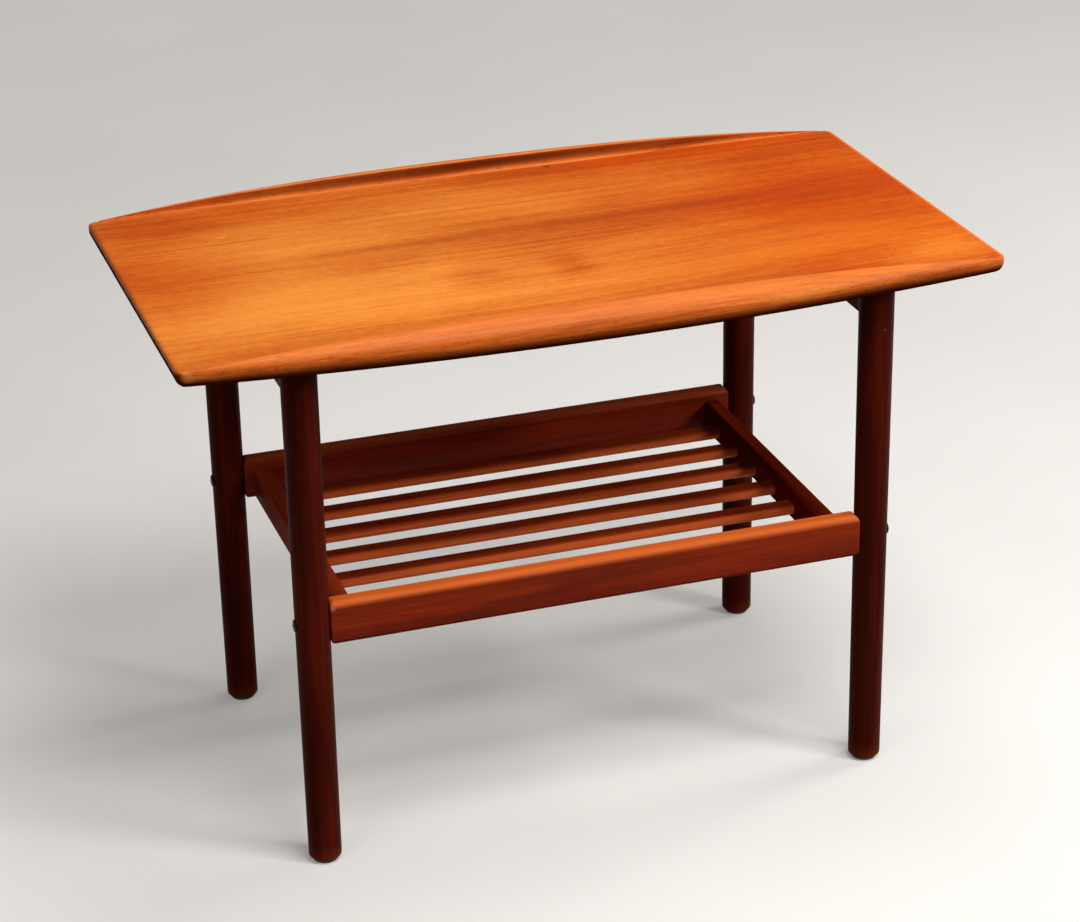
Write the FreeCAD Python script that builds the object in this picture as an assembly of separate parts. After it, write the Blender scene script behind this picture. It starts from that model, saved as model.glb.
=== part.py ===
import FreeCAD, Part
import math
import os
from FreeCAD import Vector

# Magazine table with a slatted rack, in millimetres. The origin lies on the floor under the middle of
# the top. X runs along the length, Y to the back and Z up. The front is the side at negative Y.

# Top
top_length = 750.0
middle_width = 448.0
edge_bow = 27.8
surface_height = 503.0
top_thickness = 15.6
corner_radius = 9.0
underside_radius = 10.0
arris_radius = 2.0
veneer_thickness = 0.8
end_lipping_width = 30.0

# Raised lips on the bowed long edges, widest and highest at mid-length, with small blunt tips
lip_width = 27.4
lip_height = 13.4
lip_tip_width = 1.2
lip_tip_height = 0.2
lip_cove_width = 4.6
lip_cove_tip_width = 0.2
lip_roll_drop = 4.0
lip_roll_flare = 1.0

# Loose tongues between the lips and the core
tongue_thickness = 4.0
tongue_depth = 6.0
tongue_wall = 5.0

# Legs
leg_end_setback = 109.6
leg_edge_setback = 61.7
leg_top_radius = 16.0
leg_foot_radius = 15.0
leg_foot_rounding = 3.0

# Bearers between the front and back legs, under the top
bearer_thickness = 18.0
bearer_height = 40.0
bearer_rounding = 2.5

# Dowels between bearers and legs
bearer_dowel_radius = 4.0
bearer_dowel_in_leg = 12.0
bearer_dowel_in_bearer = 20.0
bearer_dowel_edge = 9.5

# Screws through the bearers into the core
screw_count = 3
screw_end_distance = 67.3
screw_radius = 2.2
screw_depth_in_core = 10.0
screw_head_radius = 4.2
screw_head_height = 2.6
screw_head_recess = 14.0
screw_recess_radius = 5.0

# Long rails of the rack
rack_underside_height = 218.0
rail_thickness = 20.0
rail_height = 40.0
rail_top_rounding = 6.0
rail_bottom_rounding = 4.0

# End rails of the rack
end_rail_setback = 40.9
end_rail_thickness = 17.0
end_rail_height = 29.5
end_rail_top_rounding = 4.0
end_rail_bottom_rounding = 1.5
tenon_thickness = 7.0
tenon_depth = 8.0
tenon_shoulder = 4.0
tenon_wall = 1.6

# Slats
slat_count = 6
slat_edge_distance = 33.3
slat_width = 20.0
slat_thickness = 10.0
slat_rounding = 4.8
slat_lift = 5.5
slat_tenon_radius = 3.5
slat_tenon_length = 9.0

# Bolts through the legs into barrel nuts in the long rails
bolt_radius = 3.0
bolt_head_radius = 6.0
bolt_head_height = 3.3
bolt_head_rounding = 1.8
bolt_head_seat = 2.0
bolt_socket_flats = 4.0
bolt_socket_depth = 2.2
bolt_end = 2.0
barrel_nut_radius = 5.0
barrel_nut_length = 14.0
barrel_nut_wall = 3.0

# Dowels beside the bolts
rail_dowel_radius = 3.0
rail_dowel_in_leg = 8.0
rail_dowel_in_rail = 8.0

# Glides and their nails
glide_radius = 11.6
glide_height = 3.5
glide_rounding = 1.4
nail_radius = 1.2
nail_depth = 16.0
nail_head_radius = 3.6
nail_head_height = 1.0
nail_head_recess = 1.6

# Fits
hole_clearance = 0.1
end_clearance = 0.5
overrun = 1.0
tolerance = 0.0001

# Shape of the lip, as shares of the cove's width and the lip's height
lip_station_count = 9
cove_pole_shares = ((0.0, 0.0), (0.60, 0.0), (0.85, 0.12), (0.93, 0.86))
crest_pole_shares = ((0.93, 0.86), (0.945, 1.0), (1.20, 1.0))
roll_pull_share = 0.55
lip_swell_power = 2.7
arris_step_shares = (0.0, 0.5, 1.0)
arris_sweep_degrees = 80.0
arris_relief_degrees = 10.0

# Places worked out from the sizes
half_length = top_length / 2
half_middle = middle_width / 2
half_panel = half_middle - lip_width
underside_height = surface_height - top_thickness
edge_radius = (half_length ** 2 + edge_bow ** 2) / (2 * edge_bow)
edge_centre = half_middle - edge_radius
lip_tip_x = math.sqrt(edge_radius ** 2 - (half_panel + lip_tip_width - edge_centre) ** 2)
tongue_height = surface_height - top_thickness / 2
leg_x = half_length - leg_end_setback
leg_y = half_middle - leg_edge_setback
leg_length = underside_height - glide_height
bearer_underside = underside_height - bearer_height
rail_inner_y = leg_y - rail_thickness / 2
bolt_height = rack_underside_height + rail_height / 2
bolt_hole_radius = bolt_radius + hole_clearance
rail_dowel_height = (rack_underside_height + bolt_height - bolt_hole_radius) / 2
end_rail_inner_x = leg_x - end_rail_setback
end_rail_x = end_rail_inner_x + end_rail_thickness / 2
tenon_low = rack_underside_height + tenon_shoulder
tenon_high = bolt_height - bolt_hole_radius - tenon_wall
slat_middle_height = rack_underside_height + slat_lift + slat_thickness / 2
barrel_nut_x = end_rail_inner_x - barrel_nut_wall - barrel_nut_radius
sides = (-1, 1)
side_names = {-1: "left", 1: "right"}
depth_names = {-1: "front", 1: "back"}


def block(x_low, x_high, y_low, y_high, z_low, z_high):
    """A box between two corners."""
    corner = Vector(x_low, y_low, z_low)
    return Part.makeBox(x_high - x_low, y_high - y_low, z_high - z_low, corner)


def rod(radius, start, direction, length):
    """A round bar or the cutter for a round hole."""
    return Part.makeCylinder(radius, length, start, direction)


def cut_all(shape, tools):
    """The shape with every tool cut out of it."""
    for tool in tools:
        shape = shape.cut(tool)
    return shape


def long_edges(bar, height):
    """The longest edges of a bar at a height."""
    level = [edge for edge in bar.Edges if abs(edge.BoundBox.Center.z - height) < tolerance]
    level = [edge for edge in level if edge.BoundBox.ZLength < tolerance]
    longest = max(edge.Length for edge in level)
    return [edge for edge in level if edge.Length > longest - tolerance]


def edge_half_width(x):
    """Half the width of the top at a place along its length."""
    return edge_centre + math.sqrt(edge_radius ** 2 - x ** 2)


def top_outline(z):
    """The plan of the top: straight ends, bowed long edges and rounded corners."""
    centre_x = half_length - corner_radius
    centre_y = edge_centre + math.sqrt((edge_radius - corner_radius) ** 2 - centre_x ** 2)
    turn = math.atan2(centre_y - edge_centre, centre_x)

    def corner_point(angle, side, depth):
        x = centre_x + corner_radius * math.cos(angle)
        y = centre_y + corner_radius * math.sin(angle)
        return Vector(side * x, depth * y, z)

    edges = []
    for side in sides:
        edges.append(Part.makeLine(corner_point(0, side, -1), corner_point(0, side, 1)))
        for depth in sides:
            points = [corner_point(angle, side, depth) for angle in (0, turn / 2, turn)]
            edges.append(Part.Arc(*points).toShape())
    for depth in sides:
        middle = Vector(0, depth * half_middle, z)
        arc = Part.Arc(corner_point(turn, -1, depth), middle, corner_point(turn, 1, depth))
        edges.append(arc.toShape())
    return Part.Face(Part.Wire(Part.__sortEdges__(edges)))


def arris_tool(side):
    """What comes off the upper arris of one end of the top."""
    sweep = math.radians(arris_sweep_degrees)
    centre_x = half_length - arris_radius
    centre_z = surface_height - arris_radius
    reach = half_middle + overrun
    rise = lip_height + 2 * overrun
    run = rise / math.tan(math.radians(arris_relief_degrees))

    def round_point(angle):
        x = centre_x + arris_radius * math.cos(angle)
        return Vector(side * x, -reach, centre_z + arris_radius * math.sin(angle))

    start, middle, end = (round_point(sweep * share) for share in arris_step_shares)
    inner = Vector(end.x - side * run, -reach, end.z + rise)
    outer = Vector(start.x + side * overrun, -reach, inner.z)
    foot = Vector(outer.x, -reach, start.z)
    edges = [Part.Arc(start, middle, end).toShape()]
    for first, second in ((end, inner), (inner, outer), (outer, foot), (foot, start)):
        edges.append(Part.makeLine(first, second))
    return Part.Face(Part.Wire(edges)).extrude(Vector(0, 2 * reach, 0))


def top_blank():
    """The whole top as one block with its underside and end edges rounded, before it is divided."""
    rise = top_thickness + lip_height + overrun
    blank = top_outline(underside_height).extrude(Vector(0, 0, rise))
    low_edges = [edge for edge in blank.Edges if edge.BoundBox.ZMax < underside_height + tolerance]
    blank = blank.makeFillet(underside_radius, low_edges)
    return cut_all(blank, [arris_tool(side) for side in sides])


def lip_section(x):
    """The lip's profile at one place: cove up to the crest, then a roll out and down past the edge."""
    height_share = 1 - abs(x / lip_tip_x) ** lip_swell_power
    width_share = 1 - (x / lip_tip_x) ** 2
    height = lip_tip_height + lip_height * height_share
    cove = lip_cove_tip_width + lip_cove_width * width_share
    inner_y = half_panel - overrun
    base = underside_height - overrun

    def point(y, z):
        return Vector(x, y, surface_height + z)

    def bezier(poles):
        curve = Part.BezierCurve()
        curve.setPoles(poles)
        return curve.toShape()

    cove_poles = [point(half_panel + cove * y, height * z) for y, z in cove_pole_shares]
    crest_poles = [point(half_panel + cove * y, height * z) for y, z in crest_pole_shares]
    crest = crest_poles[-1]
    edge_y = edge_half_width(x)
    roll_end = point(edge_y + lip_roll_flare, -lip_roll_drop)
    roll_poles = [
        crest,
        crest + Vector(0, (edge_y - crest.y) * roll_pull_share, 0),
        Vector(x, edge_y, roll_end.z + (crest.z - roll_end.z) * roll_pull_share),
        roll_end,
    ]
    outer_foot = Vector(x, roll_end.y, base)
    inner_foot = Vector(x, inner_y, base)
    inner_top = point(inner_y, 0)
    return Part.Wire([
        bezier(cove_poles),
        bezier(crest_poles),
        bezier(roll_poles),
        Part.makeLine(roll_end, outer_foot),
        Part.makeLine(outer_foot, inner_foot),
        Part.makeLine(inner_foot, inner_top),
        Part.makeLine(inner_top, cove_poles[0]),
    ])


def tongue_half_length():
    """How far along the lip is wide enough to hold the tongue."""
    room_share = (tongue_depth + tongue_wall) / lip_width
    return min(lip_tip_x * math.sqrt(1 - room_share), half_length - end_lipping_width - tongue_wall)


def back_tongue_room(clearance, end):
    """The space of the back tongue, grown by a clearance."""
    reach = tongue_half_length() + end
    half_height = tongue_thickness / 2 + clearance
    depth = tongue_depth + end
    return block(-reach, reach, half_panel - depth, half_panel + depth,
                 tongue_height - half_height, tongue_height + half_height)


def back_lip_room():
    """The space outside the back joint line, as far as the lip's blunt tips."""
    return block(-lip_tip_x, lip_tip_x, half_panel, middle_width, 0, surface_height + top_length)


def back_lip(blank):
    """The back lip, shaped from the block outside the joint line and grooved for its tongue."""
    reach = lip_tip_x + overrun
    step = 2 * reach / (lip_station_count - 1)
    sections = [lip_section(-reach + step * number) for number in range(lip_station_count)]
    profile = Part.makeLoft(sections, True)
    lip = blank.common(profile).common(back_lip_room())
    return lip.cut(back_tongue_room(hole_clearance, end_clearance))


def mirrored_to_front(shape):
    """The same piece on the other long side."""
    return shape.mirror(Vector(0, 0, 0), Vector(0, 1, 0))


def panel_slice(blank, x_low, x_high, z_low, z_high):
    """The part of the block that the lips leave, between two places along it and two heights."""
    piece = blank.common(block(x_low, x_high, -middle_width, middle_width, z_low, z_high))
    return cut_all(piece, [back_lip_room(), mirrored_to_front(back_lip_room())])


def screw_places():
    """The plan places of the screws that hold the top."""
    first = leg_y - screw_end_distance
    spacing = 2 * first / (screw_count - 1)
    rows = [first - spacing * number for number in range(screw_count)]
    return [(side * leg_x, y) for side in sides for y in rows]


def screw_seat_height():
    """The height of the seat of a screw head, up inside the bearer."""
    return bearer_underside + screw_head_recess


def panel_pieces(blank):
    """The veneers, the end lippings and the core of the panel."""
    core_low = underside_height + veneer_thickness
    core_high = surface_height - veneer_thickness
    core_reach = half_length - end_lipping_width
    reach = half_length + overrun
    core = panel_slice(blank, -core_reach, core_reach, core_low, core_high)
    groove = back_tongue_room(hole_clearance, end_clearance)
    core = cut_all(core, [groove, mirrored_to_front(groove)])
    backing = panel_slice(blank, -reach, reach, underside_height, core_low)
    for x, y in screw_places():
        start = Vector(x, y, underside_height - overrun)
        depth = screw_depth_in_core + overrun + end_clearance
        pilot = rod(screw_radius + hole_clearance, start, Vector(0, 0, 1), depth)
        core = core.cut(pilot)
        backing = backing.cut(pilot)
    pieces = {
        "top_veneer": panel_slice(blank, -reach, reach, core_high, surface_height),
        "backing_veneer": backing,
        "top_core": core,
    }
    for side in sides:
        ends = sorted((side * core_reach, side * reach))
        pieces[side_names[side] + "_end_lipping"] = panel_slice(blank, *ends, core_low, core_high)
    return pieces


def leg_blank(side, depth):
    """The turned leg before its holes: a slow taper with a rounded foot."""
    foot = Vector(side * leg_x, depth * leg_y, glide_height)
    leg = Part.makeCone(leg_foot_radius, leg_top_radius, leg_length, foot, Vector(0, 0, 1))
    foot_edges = [edge for edge in leg.Edges if edge.BoundBox.ZMax < glide_height + tolerance]
    return leg.makeFillet(leg_foot_rounding, foot_edges)


def leg_radius_at(z):
    """The radius of the taper at a height."""
    return leg_foot_radius + (leg_top_radius - leg_foot_radius) * (z - glide_height) / leg_length


def bearer_dowel_rods(side, depth, radius, extra):
    """The two dowels, or their holes, where a bearer meets a leg."""
    leg_face = leg_y - leg_radius_at(bearer_underside)
    start_y = depth * (leg_face - bearer_dowel_in_bearer - extra)
    length = bearer_dowel_in_bearer + bearer_dowel_in_leg + 2 * extra
    heights = (bearer_underside + bearer_dowel_edge, underside_height - bearer_dowel_edge)
    return [rod(radius, Vector(side * leg_x, start_y, z), Vector(0, depth, 0), length) for z in heights]


def rail_dowel_rod(side, depth, radius, extra):
    """The locating dowel, or its hole, under the bolt of one rail end."""
    leg_face = leg_x - leg_radius_at(rail_dowel_height)
    start = Vector(side * (leg_face - rail_dowel_in_rail - extra), depth * leg_y, rail_dowel_height)
    length = rail_dowel_in_rail + rail_dowel_in_leg + 2 * extra
    return rod(radius, start, Vector(side, 0, 0), length)


def bolt_seat_x():
    """How far from the middle the bolt head's seat on the leg lies."""
    return leg_x + leg_radius_at(bolt_height) - bolt_head_seat


def bolt_end_x():
    """How far from the middle the bolt's tip lies, past the barrel nut."""
    return barrel_nut_x - barrel_nut_radius - bolt_end


def bolt_rod(side, depth, radius, extra):
    """The bolt's shank, or its hole, from its tip to the seat of its head."""
    start = Vector(side * (bolt_end_x() - extra), depth * leg_y, bolt_height)
    return rod(radius, start, Vector(side, 0, 0), bolt_seat_x() - bolt_end_x() + extra)


def bolt_head_rod(side, depth, radius, length):
    """The bolt's head, or the room for it, from its seat outwards."""
    seat = Vector(side * bolt_seat_x(), depth * leg_y, bolt_height)
    return rod(radius, seat, Vector(side, 0, 0), length)


def leg(side, depth):
    """A leg with the holes for its dowels, its bolt and its glide nail."""
    foot = Vector(side * leg_x, depth * leg_y, glide_height - overrun)
    tools = bearer_dowel_rods(side, depth, bearer_dowel_radius + hole_clearance, end_clearance)
    tools.append(rail_dowel_rod(side, depth, rail_dowel_radius + hole_clearance, end_clearance))
    tools.append(bolt_rod(side, depth, bolt_hole_radius, overrun))
    tools.append(bolt_head_rod(side, depth, bolt_head_radius + hole_clearance, leg_top_radius))
    nail_room = nail_depth + overrun + end_clearance
    tools.append(rod(nail_radius + hole_clearance, foot, Vector(0, 0, 1), nail_room))
    return cut_all(leg_blank(side, depth), tools)


def bearer(side):
    """A bearer from a front leg to a back leg, hollowed to both and bored for dowels and screws."""
    half = bearer_thickness / 2
    middle = side * leg_x
    bar = block(middle - half, middle + half, -leg_y, leg_y, bearer_underside, underside_height)
    bar = bar.makeFillet(bearer_rounding, long_edges(bar, bearer_underside))
    tools = [leg_blank(side, depth) for depth in sides]
    for depth in sides:
        tools += bearer_dowel_rods(side, depth, bearer_dowel_radius + hole_clearance, end_clearance)
    for x, y in screw_places():
        if x * side > 0:
            low = Vector(x, y, bearer_underside - overrun)
            through = bearer_height + 2 * overrun
            tools.append(rod(screw_radius + hole_clearance, low, Vector(0, 0, 1), through))
            tools.append(rod(screw_recess_radius, low, Vector(0, 0, 1), screw_head_recess + overrun))
    return cut_all(bar, tools)


def top_screw(x, y):
    """A wood screw from its recess in the bearer up into the core."""
    seat = screw_seat_height()
    head = rod(screw_head_radius, Vector(x, y, seat - screw_head_height), Vector(0, 0, 1), screw_head_height)
    length = underside_height + screw_depth_in_core - seat
    return head.fuse(rod(screw_radius, Vector(x, y, seat), Vector(0, 0, 1), length)).removeSplitter()


def tenon(side, depth, clearance, extra):
    """The stub tenon of an end rail, or its mortise in a long rail."""
    half = tenon_thickness / 2 + clearance
    ends = sorted((depth * (rail_inner_y - overrun), depth * (rail_inner_y + tenon_depth + extra)))
    middle = side * end_rail_x
    return block(middle - half, middle + half, ends[0], ends[1],
                 tenon_low - clearance, tenon_high + clearance)


def barrel_nut_hole(side, depth):
    """The hole for a barrel nut, bored up from the underside of a long rail."""
    low = Vector(side * barrel_nut_x, depth * leg_y, rack_underside_height - overrun)
    length = rail_height / 2 + barrel_nut_length / 2 + overrun + end_clearance
    return rod(barrel_nut_radius + hole_clearance, low, Vector(0, 0, 1), length)


def long_rail(depth):
    """A front or back rail: rounded edges, ends hollowed to the legs, mortises and bolt holes."""
    half = rail_thickness / 2
    middle = depth * leg_y
    top = rack_underside_height + rail_height
    bar = block(-leg_x, leg_x, middle - half, middle + half, rack_underside_height, top)
    bar = bar.makeFillet(rail_top_rounding, long_edges(bar, top))
    bar = bar.makeFillet(rail_bottom_rounding, long_edges(bar, rack_underside_height))
    tools = []
    for side in sides:
        tools.append(leg_blank(side, depth))
        tools.append(bolt_rod(side, depth, bolt_hole_radius, overrun))
        tools.append(rail_dowel_rod(side, depth, rail_dowel_radius + hole_clearance, end_clearance))
        tools.append(barrel_nut_hole(side, depth))
        tools.append(tenon(side, depth, hole_clearance, end_clearance))
    return cut_all(bar, tools)


def slat_places():
    """The places of the slats across the rack."""
    first = rail_inner_y - slat_edge_distance
    pitch = 2 * first / (slat_count - 1)
    return [first - pitch * number for number in range(slat_count)]


def slat_tenon(side, y, clearance, extra):
    """The round tenon at one end of a slat, or its hole in the end rail."""
    start = Vector(side * (end_rail_inner_x - overrun), y, slat_middle_height)
    return rod(slat_tenon_radius + clearance, start, Vector(side, 0, 0), slat_tenon_length + overrun + extra)


def end_rail(side):
    """An end rail between the long rails, with stub tenons and a hole for each slat."""
    inner, outer = sorted((side * end_rail_inner_x, side * (end_rail_inner_x + end_rail_thickness)))
    top = rack_underside_height + end_rail_height
    bar = block(inner, outer, -rail_inner_y, rail_inner_y, rack_underside_height, top)
    bar = bar.makeFillet(end_rail_top_rounding, long_edges(bar, top))
    bar = bar.makeFillet(end_rail_bottom_rounding, long_edges(bar, rack_underside_height))
    for depth in sides:
        bar = bar.fuse(tenon(side, depth, 0, 0))
    tools = [slat_tenon(side, y, hole_clearance, end_clearance) for y in slat_places()]
    return cut_all(bar.removeSplitter(), tools)


def slat(y):
    """One slat with rounded long edges and a round tenon at each end."""
    half = slat_width / 2
    low = rack_underside_height + slat_lift
    high = low + slat_thickness
    bar = block(-end_rail_inner_x, end_rail_inner_x, y - half, y + half, low, high)
    bar = bar.makeFillet(slat_rounding, long_edges(bar, low) + long_edges(bar, high))
    for side in sides:
        bar = bar.fuse(slat_tenon(side, y, 0, 0))
    return bar.removeSplitter()


def rail_bolt(side, depth):
    """A bolt with a low domed head and a hexagon socket."""
    head = bolt_head_rod(side, depth, bolt_head_radius, bolt_head_height)
    face_x = side * (bolt_seat_x() + bolt_head_height)
    rim = [edge for edge in head.Edges if abs(edge.BoundBox.Center.x - face_x) < tolerance]
    rim = [edge for edge in rim if edge.BoundBox.XLength < tolerance]
    head = head.makeFillet(bolt_head_rounding, rim)
    corner = bolt_socket_flats / math.sqrt(3)
    start_x = face_x - side * bolt_socket_depth
    points = []
    for number in range(7):
        angle = math.radians(60 * number)
        y = depth * leg_y + corner * math.cos(angle)
        points.append(Vector(start_x, y, bolt_height + corner * math.sin(angle)))
    socket = Part.Face(Part.makePolygon(points)).extrude(Vector(side * (bolt_socket_depth + overrun), 0, 0))
    return head.fuse(bolt_rod(side, depth, bolt_radius, 0)).removeSplitter().cut(socket)


def barrel_nut(side, depth):
    """A cross dowel nut with its bolt hole."""
    low = Vector(side * barrel_nut_x, depth * leg_y, bolt_height - barrel_nut_length / 2)
    nut = rod(barrel_nut_radius, low, Vector(0, 0, 1), barrel_nut_length)
    return nut.cut(bolt_rod(side, depth, bolt_hole_radius, overrun))


def glide(side, depth):
    """A round glide with a softened lower edge and a recess for its nail."""
    foot = Vector(side * leg_x, depth * leg_y, 0)
    disc = rod(glide_radius, foot, Vector(0, 0, 1), glide_height)
    low_edges = [edge for edge in disc.Edges if edge.BoundBox.ZMax < tolerance]
    disc = disc.makeFillet(glide_rounding, low_edges)
    below = foot - Vector(0, 0, overrun)
    recess = rod(nail_head_radius + hole_clearance, below, Vector(0, 0, 1), nail_head_recess + overrun)
    hole = rod(nail_radius + hole_clearance, below, Vector(0, 0, 1), glide_height + 2 * overrun)
    return cut_all(disc, [recess, hole])


def glide_nail(side, depth):
    """The nail that holds a glide, its head inside the recess."""
    seat = Vector(side * leg_x, depth * leg_y, nail_head_recess)
    head = rod(nail_head_radius, seat, Vector(0, 0, -1), nail_head_height)
    length = glide_height - nail_head_recess + nail_depth
    return head.fuse(rod(nail_radius, seat, Vector(0, 0, 1), length)).removeSplitter()


def all_pieces():
    """Every node of the table by its name."""
    blank = top_blank()
    pieces = panel_pieces(blank)
    pieces["back_lip"] = back_lip(blank)
    pieces["front_lip"] = mirrored_to_front(pieces["back_lip"])
    pieces["back_lip_tongue"] = back_tongue_room(0, 0)
    pieces["front_lip_tongue"] = mirrored_to_front(pieces["back_lip_tongue"])
    corners = [(side, depth) for side in sides for depth in sides]
    for side, depth in corners:
        place = depth_names[depth] + "_" + side_names[side]
        pieces[place + "_leg"] = leg(side, depth)
        pieces[place + "_glide"] = glide(side, depth)
    for side in sides:
        pieces[side_names[side] + "_bearer"] = bearer(side)
        pieces[side_names[side] + "_end_rail"] = end_rail(side)
    for depth in sides:
        pieces[depth_names[depth] + "_rail"] = long_rail(depth)
    for number, y in enumerate(slat_places(), start=1):
        pieces["slat_" + str(number)] = slat(y)
    dowels = []
    for side, depth in corners:
        dowels += bearer_dowel_rods(side, depth, bearer_dowel_radius, 0)
    pieces["bearer_dowels"] = Part.makeCompound(dowels)
    pieces["rail_dowels"] = Part.makeCompound(
        [rail_dowel_rod(side, depth, rail_dowel_radius, 0) for side, depth in corners])
    pieces["rail_bolts"] = Part.makeCompound([rail_bolt(side, depth) for side, depth in corners])
    pieces["barrel_nuts"] = Part.makeCompound([barrel_nut(side, depth) for side, depth in corners])
    pieces["glide_nails"] = Part.makeCompound([glide_nail(side, depth) for side, depth in corners])
    pieces["top_screws"] = Part.makeCompound([top_screw(x, y) for x, y in screw_places()])
    return pieces


os.makedirs("parts", exist_ok=True)
for name, shape in all_pieces().items():
    shape.exportStep("parts/" + name + ".step")
    print(name, len(shape.Solids), round(shape.Volume), shape.isValid())
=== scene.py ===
"""Magazine table with rack: a boat-shaped teak top on round legs, with a slatted rack between them.

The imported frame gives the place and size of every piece. Each operator makes one piece, or a group of
like pieces, and puts it where its solids are.
"""
import math
import bmesh
import bpy
from mathutils import Matrix, Vector


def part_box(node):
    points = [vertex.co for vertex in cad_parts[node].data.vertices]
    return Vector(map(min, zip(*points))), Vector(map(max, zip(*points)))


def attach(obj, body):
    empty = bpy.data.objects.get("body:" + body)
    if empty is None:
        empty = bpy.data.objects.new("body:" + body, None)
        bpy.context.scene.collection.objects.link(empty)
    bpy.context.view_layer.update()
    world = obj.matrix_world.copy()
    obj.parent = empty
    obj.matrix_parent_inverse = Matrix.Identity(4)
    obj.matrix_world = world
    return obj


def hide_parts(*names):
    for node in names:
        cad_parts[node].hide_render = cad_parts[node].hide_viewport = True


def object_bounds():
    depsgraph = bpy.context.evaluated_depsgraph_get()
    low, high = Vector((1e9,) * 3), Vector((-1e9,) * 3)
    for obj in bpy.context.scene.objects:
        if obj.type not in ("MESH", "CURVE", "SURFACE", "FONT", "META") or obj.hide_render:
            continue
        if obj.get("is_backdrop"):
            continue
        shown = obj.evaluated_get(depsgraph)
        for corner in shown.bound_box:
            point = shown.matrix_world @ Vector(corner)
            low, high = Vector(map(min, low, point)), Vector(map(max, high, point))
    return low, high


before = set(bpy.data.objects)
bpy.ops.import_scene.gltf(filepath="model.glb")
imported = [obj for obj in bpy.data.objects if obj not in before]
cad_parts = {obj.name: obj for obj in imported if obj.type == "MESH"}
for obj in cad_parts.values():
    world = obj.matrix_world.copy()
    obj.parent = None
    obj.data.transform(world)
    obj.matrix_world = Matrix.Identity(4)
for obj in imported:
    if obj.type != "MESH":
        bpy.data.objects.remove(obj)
CAD_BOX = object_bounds()

bl_info = {
    "name": "Magazine Table with Rack",
    "version": (1, 0, 0),
    "blender": (4, 5, 0),
    "location": "View3D > Sidebar > Magazine Table",
    "description": "Builds a teak magazine table with raised lips and a slatted rack",
    "category": "Object",
}

MM = 0.001
BODY = "root"
SIDES = {"left": -1, "right": 1}
DEPTHS = {"front": -1, "back": 1}
ROUND_STEPS = 8
LEG_SEGMENTS = 96
LIP_STATIONS = 160
# Steps along a leg, along a joint line, across half an end, from a lip's tip to the corner, beside a lip,
# along half a bar and round the easing of its end.
LEG_STEPS, JOINT_STEPS, END_STEPS, TIP_STEPS, BESIDE_LIP_STEPS = 40, 40, 12, 6, 8
BAR_STEPS, EASE_STEPS = 12, 4
# Share of an end's rounding that is left at the joint line, and the most of a corner's rounding to draw in.
JOINT_ROUND_SHARE, CORNER_SHARE = 0.015, 0.9
# The wear value carries real wear and painted light: above zero pale, for rubbed edges and painted highlights;
# below zero dark, for old oil and painted shade.
WEAR_AND_LIGHT = "wear"
# The arris of the right end is rubbed bare and painted paler as a highlight; the left end is painted darker as
# shade.
END_CRESTS = {"left": -0.3, "right": 0.9}
LIP_TIP_CREST = 0.35
WOOD_IOR = 1.5
WOOD_SPECULAR = 0.09
LIP_TIP_HEIGHT = 0.2 * MM
GRAIN_TURNS = {"X": (0, 0, 0), "Y": (0, 0, -math.pi / 2), "Z": (0, math.pi / 2, 0)}
VENEER_JOINT_X = -0.008
# Tone of the face veneer from its front edge to its back edge: 0 is brown, 1 is golden.
VENEER_BANDS = ((0.0, 0.36), (0.06, 0.48), (0.13, 0.66), (0.22, 0.78), (0.36, 0.70), (0.46, 0.62),
                (0.54, 0.48), (0.62, 0.54), (0.70, 0.71), (0.82, 0.62), (0.97, 0.54))
# Patches of the figure and of painted light: centre and reach along and across the top in metres, change of
# tone, change of red.
VENEER_PATCHES = (
    ((0.06, 0.034), (0.26, 0.070), -0.10, 0.10),
    ((-0.06, 0.022), (0.12, 0.046), -0.07, 0.00),
    # The golden patches at the left front are painted light, brightening that end as if lit.
    ((-0.19, -0.085), (0.22, 0.070), 0.13, -0.10),
    ((0.03, 0.085), (0.08, 0.040), 0.14, -0.10),
    ((-0.080, -0.074), (0.045, 0.046), -0.17, 0.10),
    ((0.010, -0.074), (0.034, 0.054), -0.22, 0.20),
    ((0.29, 0.02), (0.18, 0.14), -0.14, 0.35),
    ((-0.25, 0.165), (0.22, 0.070), -0.06, 0.65),
    ((0.10, 0.185), (0.30, 0.050), -0.14, 0.40),
    ((-0.35, 0.04), (0.12, 0.22), -0.03, 0.75),
    ((-0.25, -0.03), (0.22, 0.26), 0.13, 0.05),
    ((-0.22, 0.035), (0.22, 0.060), 0.13, 0.05),
    ((0.25, -0.12), (0.20, 0.06), 0.16, 0.15),
    ((0.30, -0.175), (0.12, 0.050), 0.20, -0.15),
    ((0.345, -0.155), (0.09, 0.070), 0.35, -0.30),
    ((0.075, 0.194), (0.005, 0.006), -1.2, 0.0),
    ((0.254, -0.180), (0.004, 0.004), -1.0, 0.0),
    ((-0.267, 0.110), (0.007, 0.003), 0.9, -0.5),
)

# Small marks on the solid wood: centre and reach in metres, strength and colour.
RAIL_MARKS = (((-0.2485, -0.1715, 0.2530), 0.0034, 0.8, "#b9824e"),)
LEG_MARKS = (((0.2670, -0.1779, 0.4423), 0.0015, 0.8, "#b4673a"),)
LIP_MARKS = (((-0.3730, -0.1935, 0.4990), 0.0050, 0.9, "#4a1408"),
             ((-0.3655, -0.1965, 0.4980), 0.0075, 0.5, "#d98a54"))

# Poles of a lip's profile, as shares of the cove's width and of the lip's rise.
COVE_SHARES = ((0.0, 0.0), (0.60, 0.0), (0.85, 0.12), (0.93, 0.86))
CREST_SHARES = ((0.93, 0.86), (0.945, 1.0), (1.20, 1.0))
ROLL_PULL_SHARE = 0.55
ROLL_STEPS = 20
LIP_SWELL_POWER = 2.7
LIP_COVE_TIP = 0.2 * MM
LIP_ROLL_DROP = 4 * MM
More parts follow.
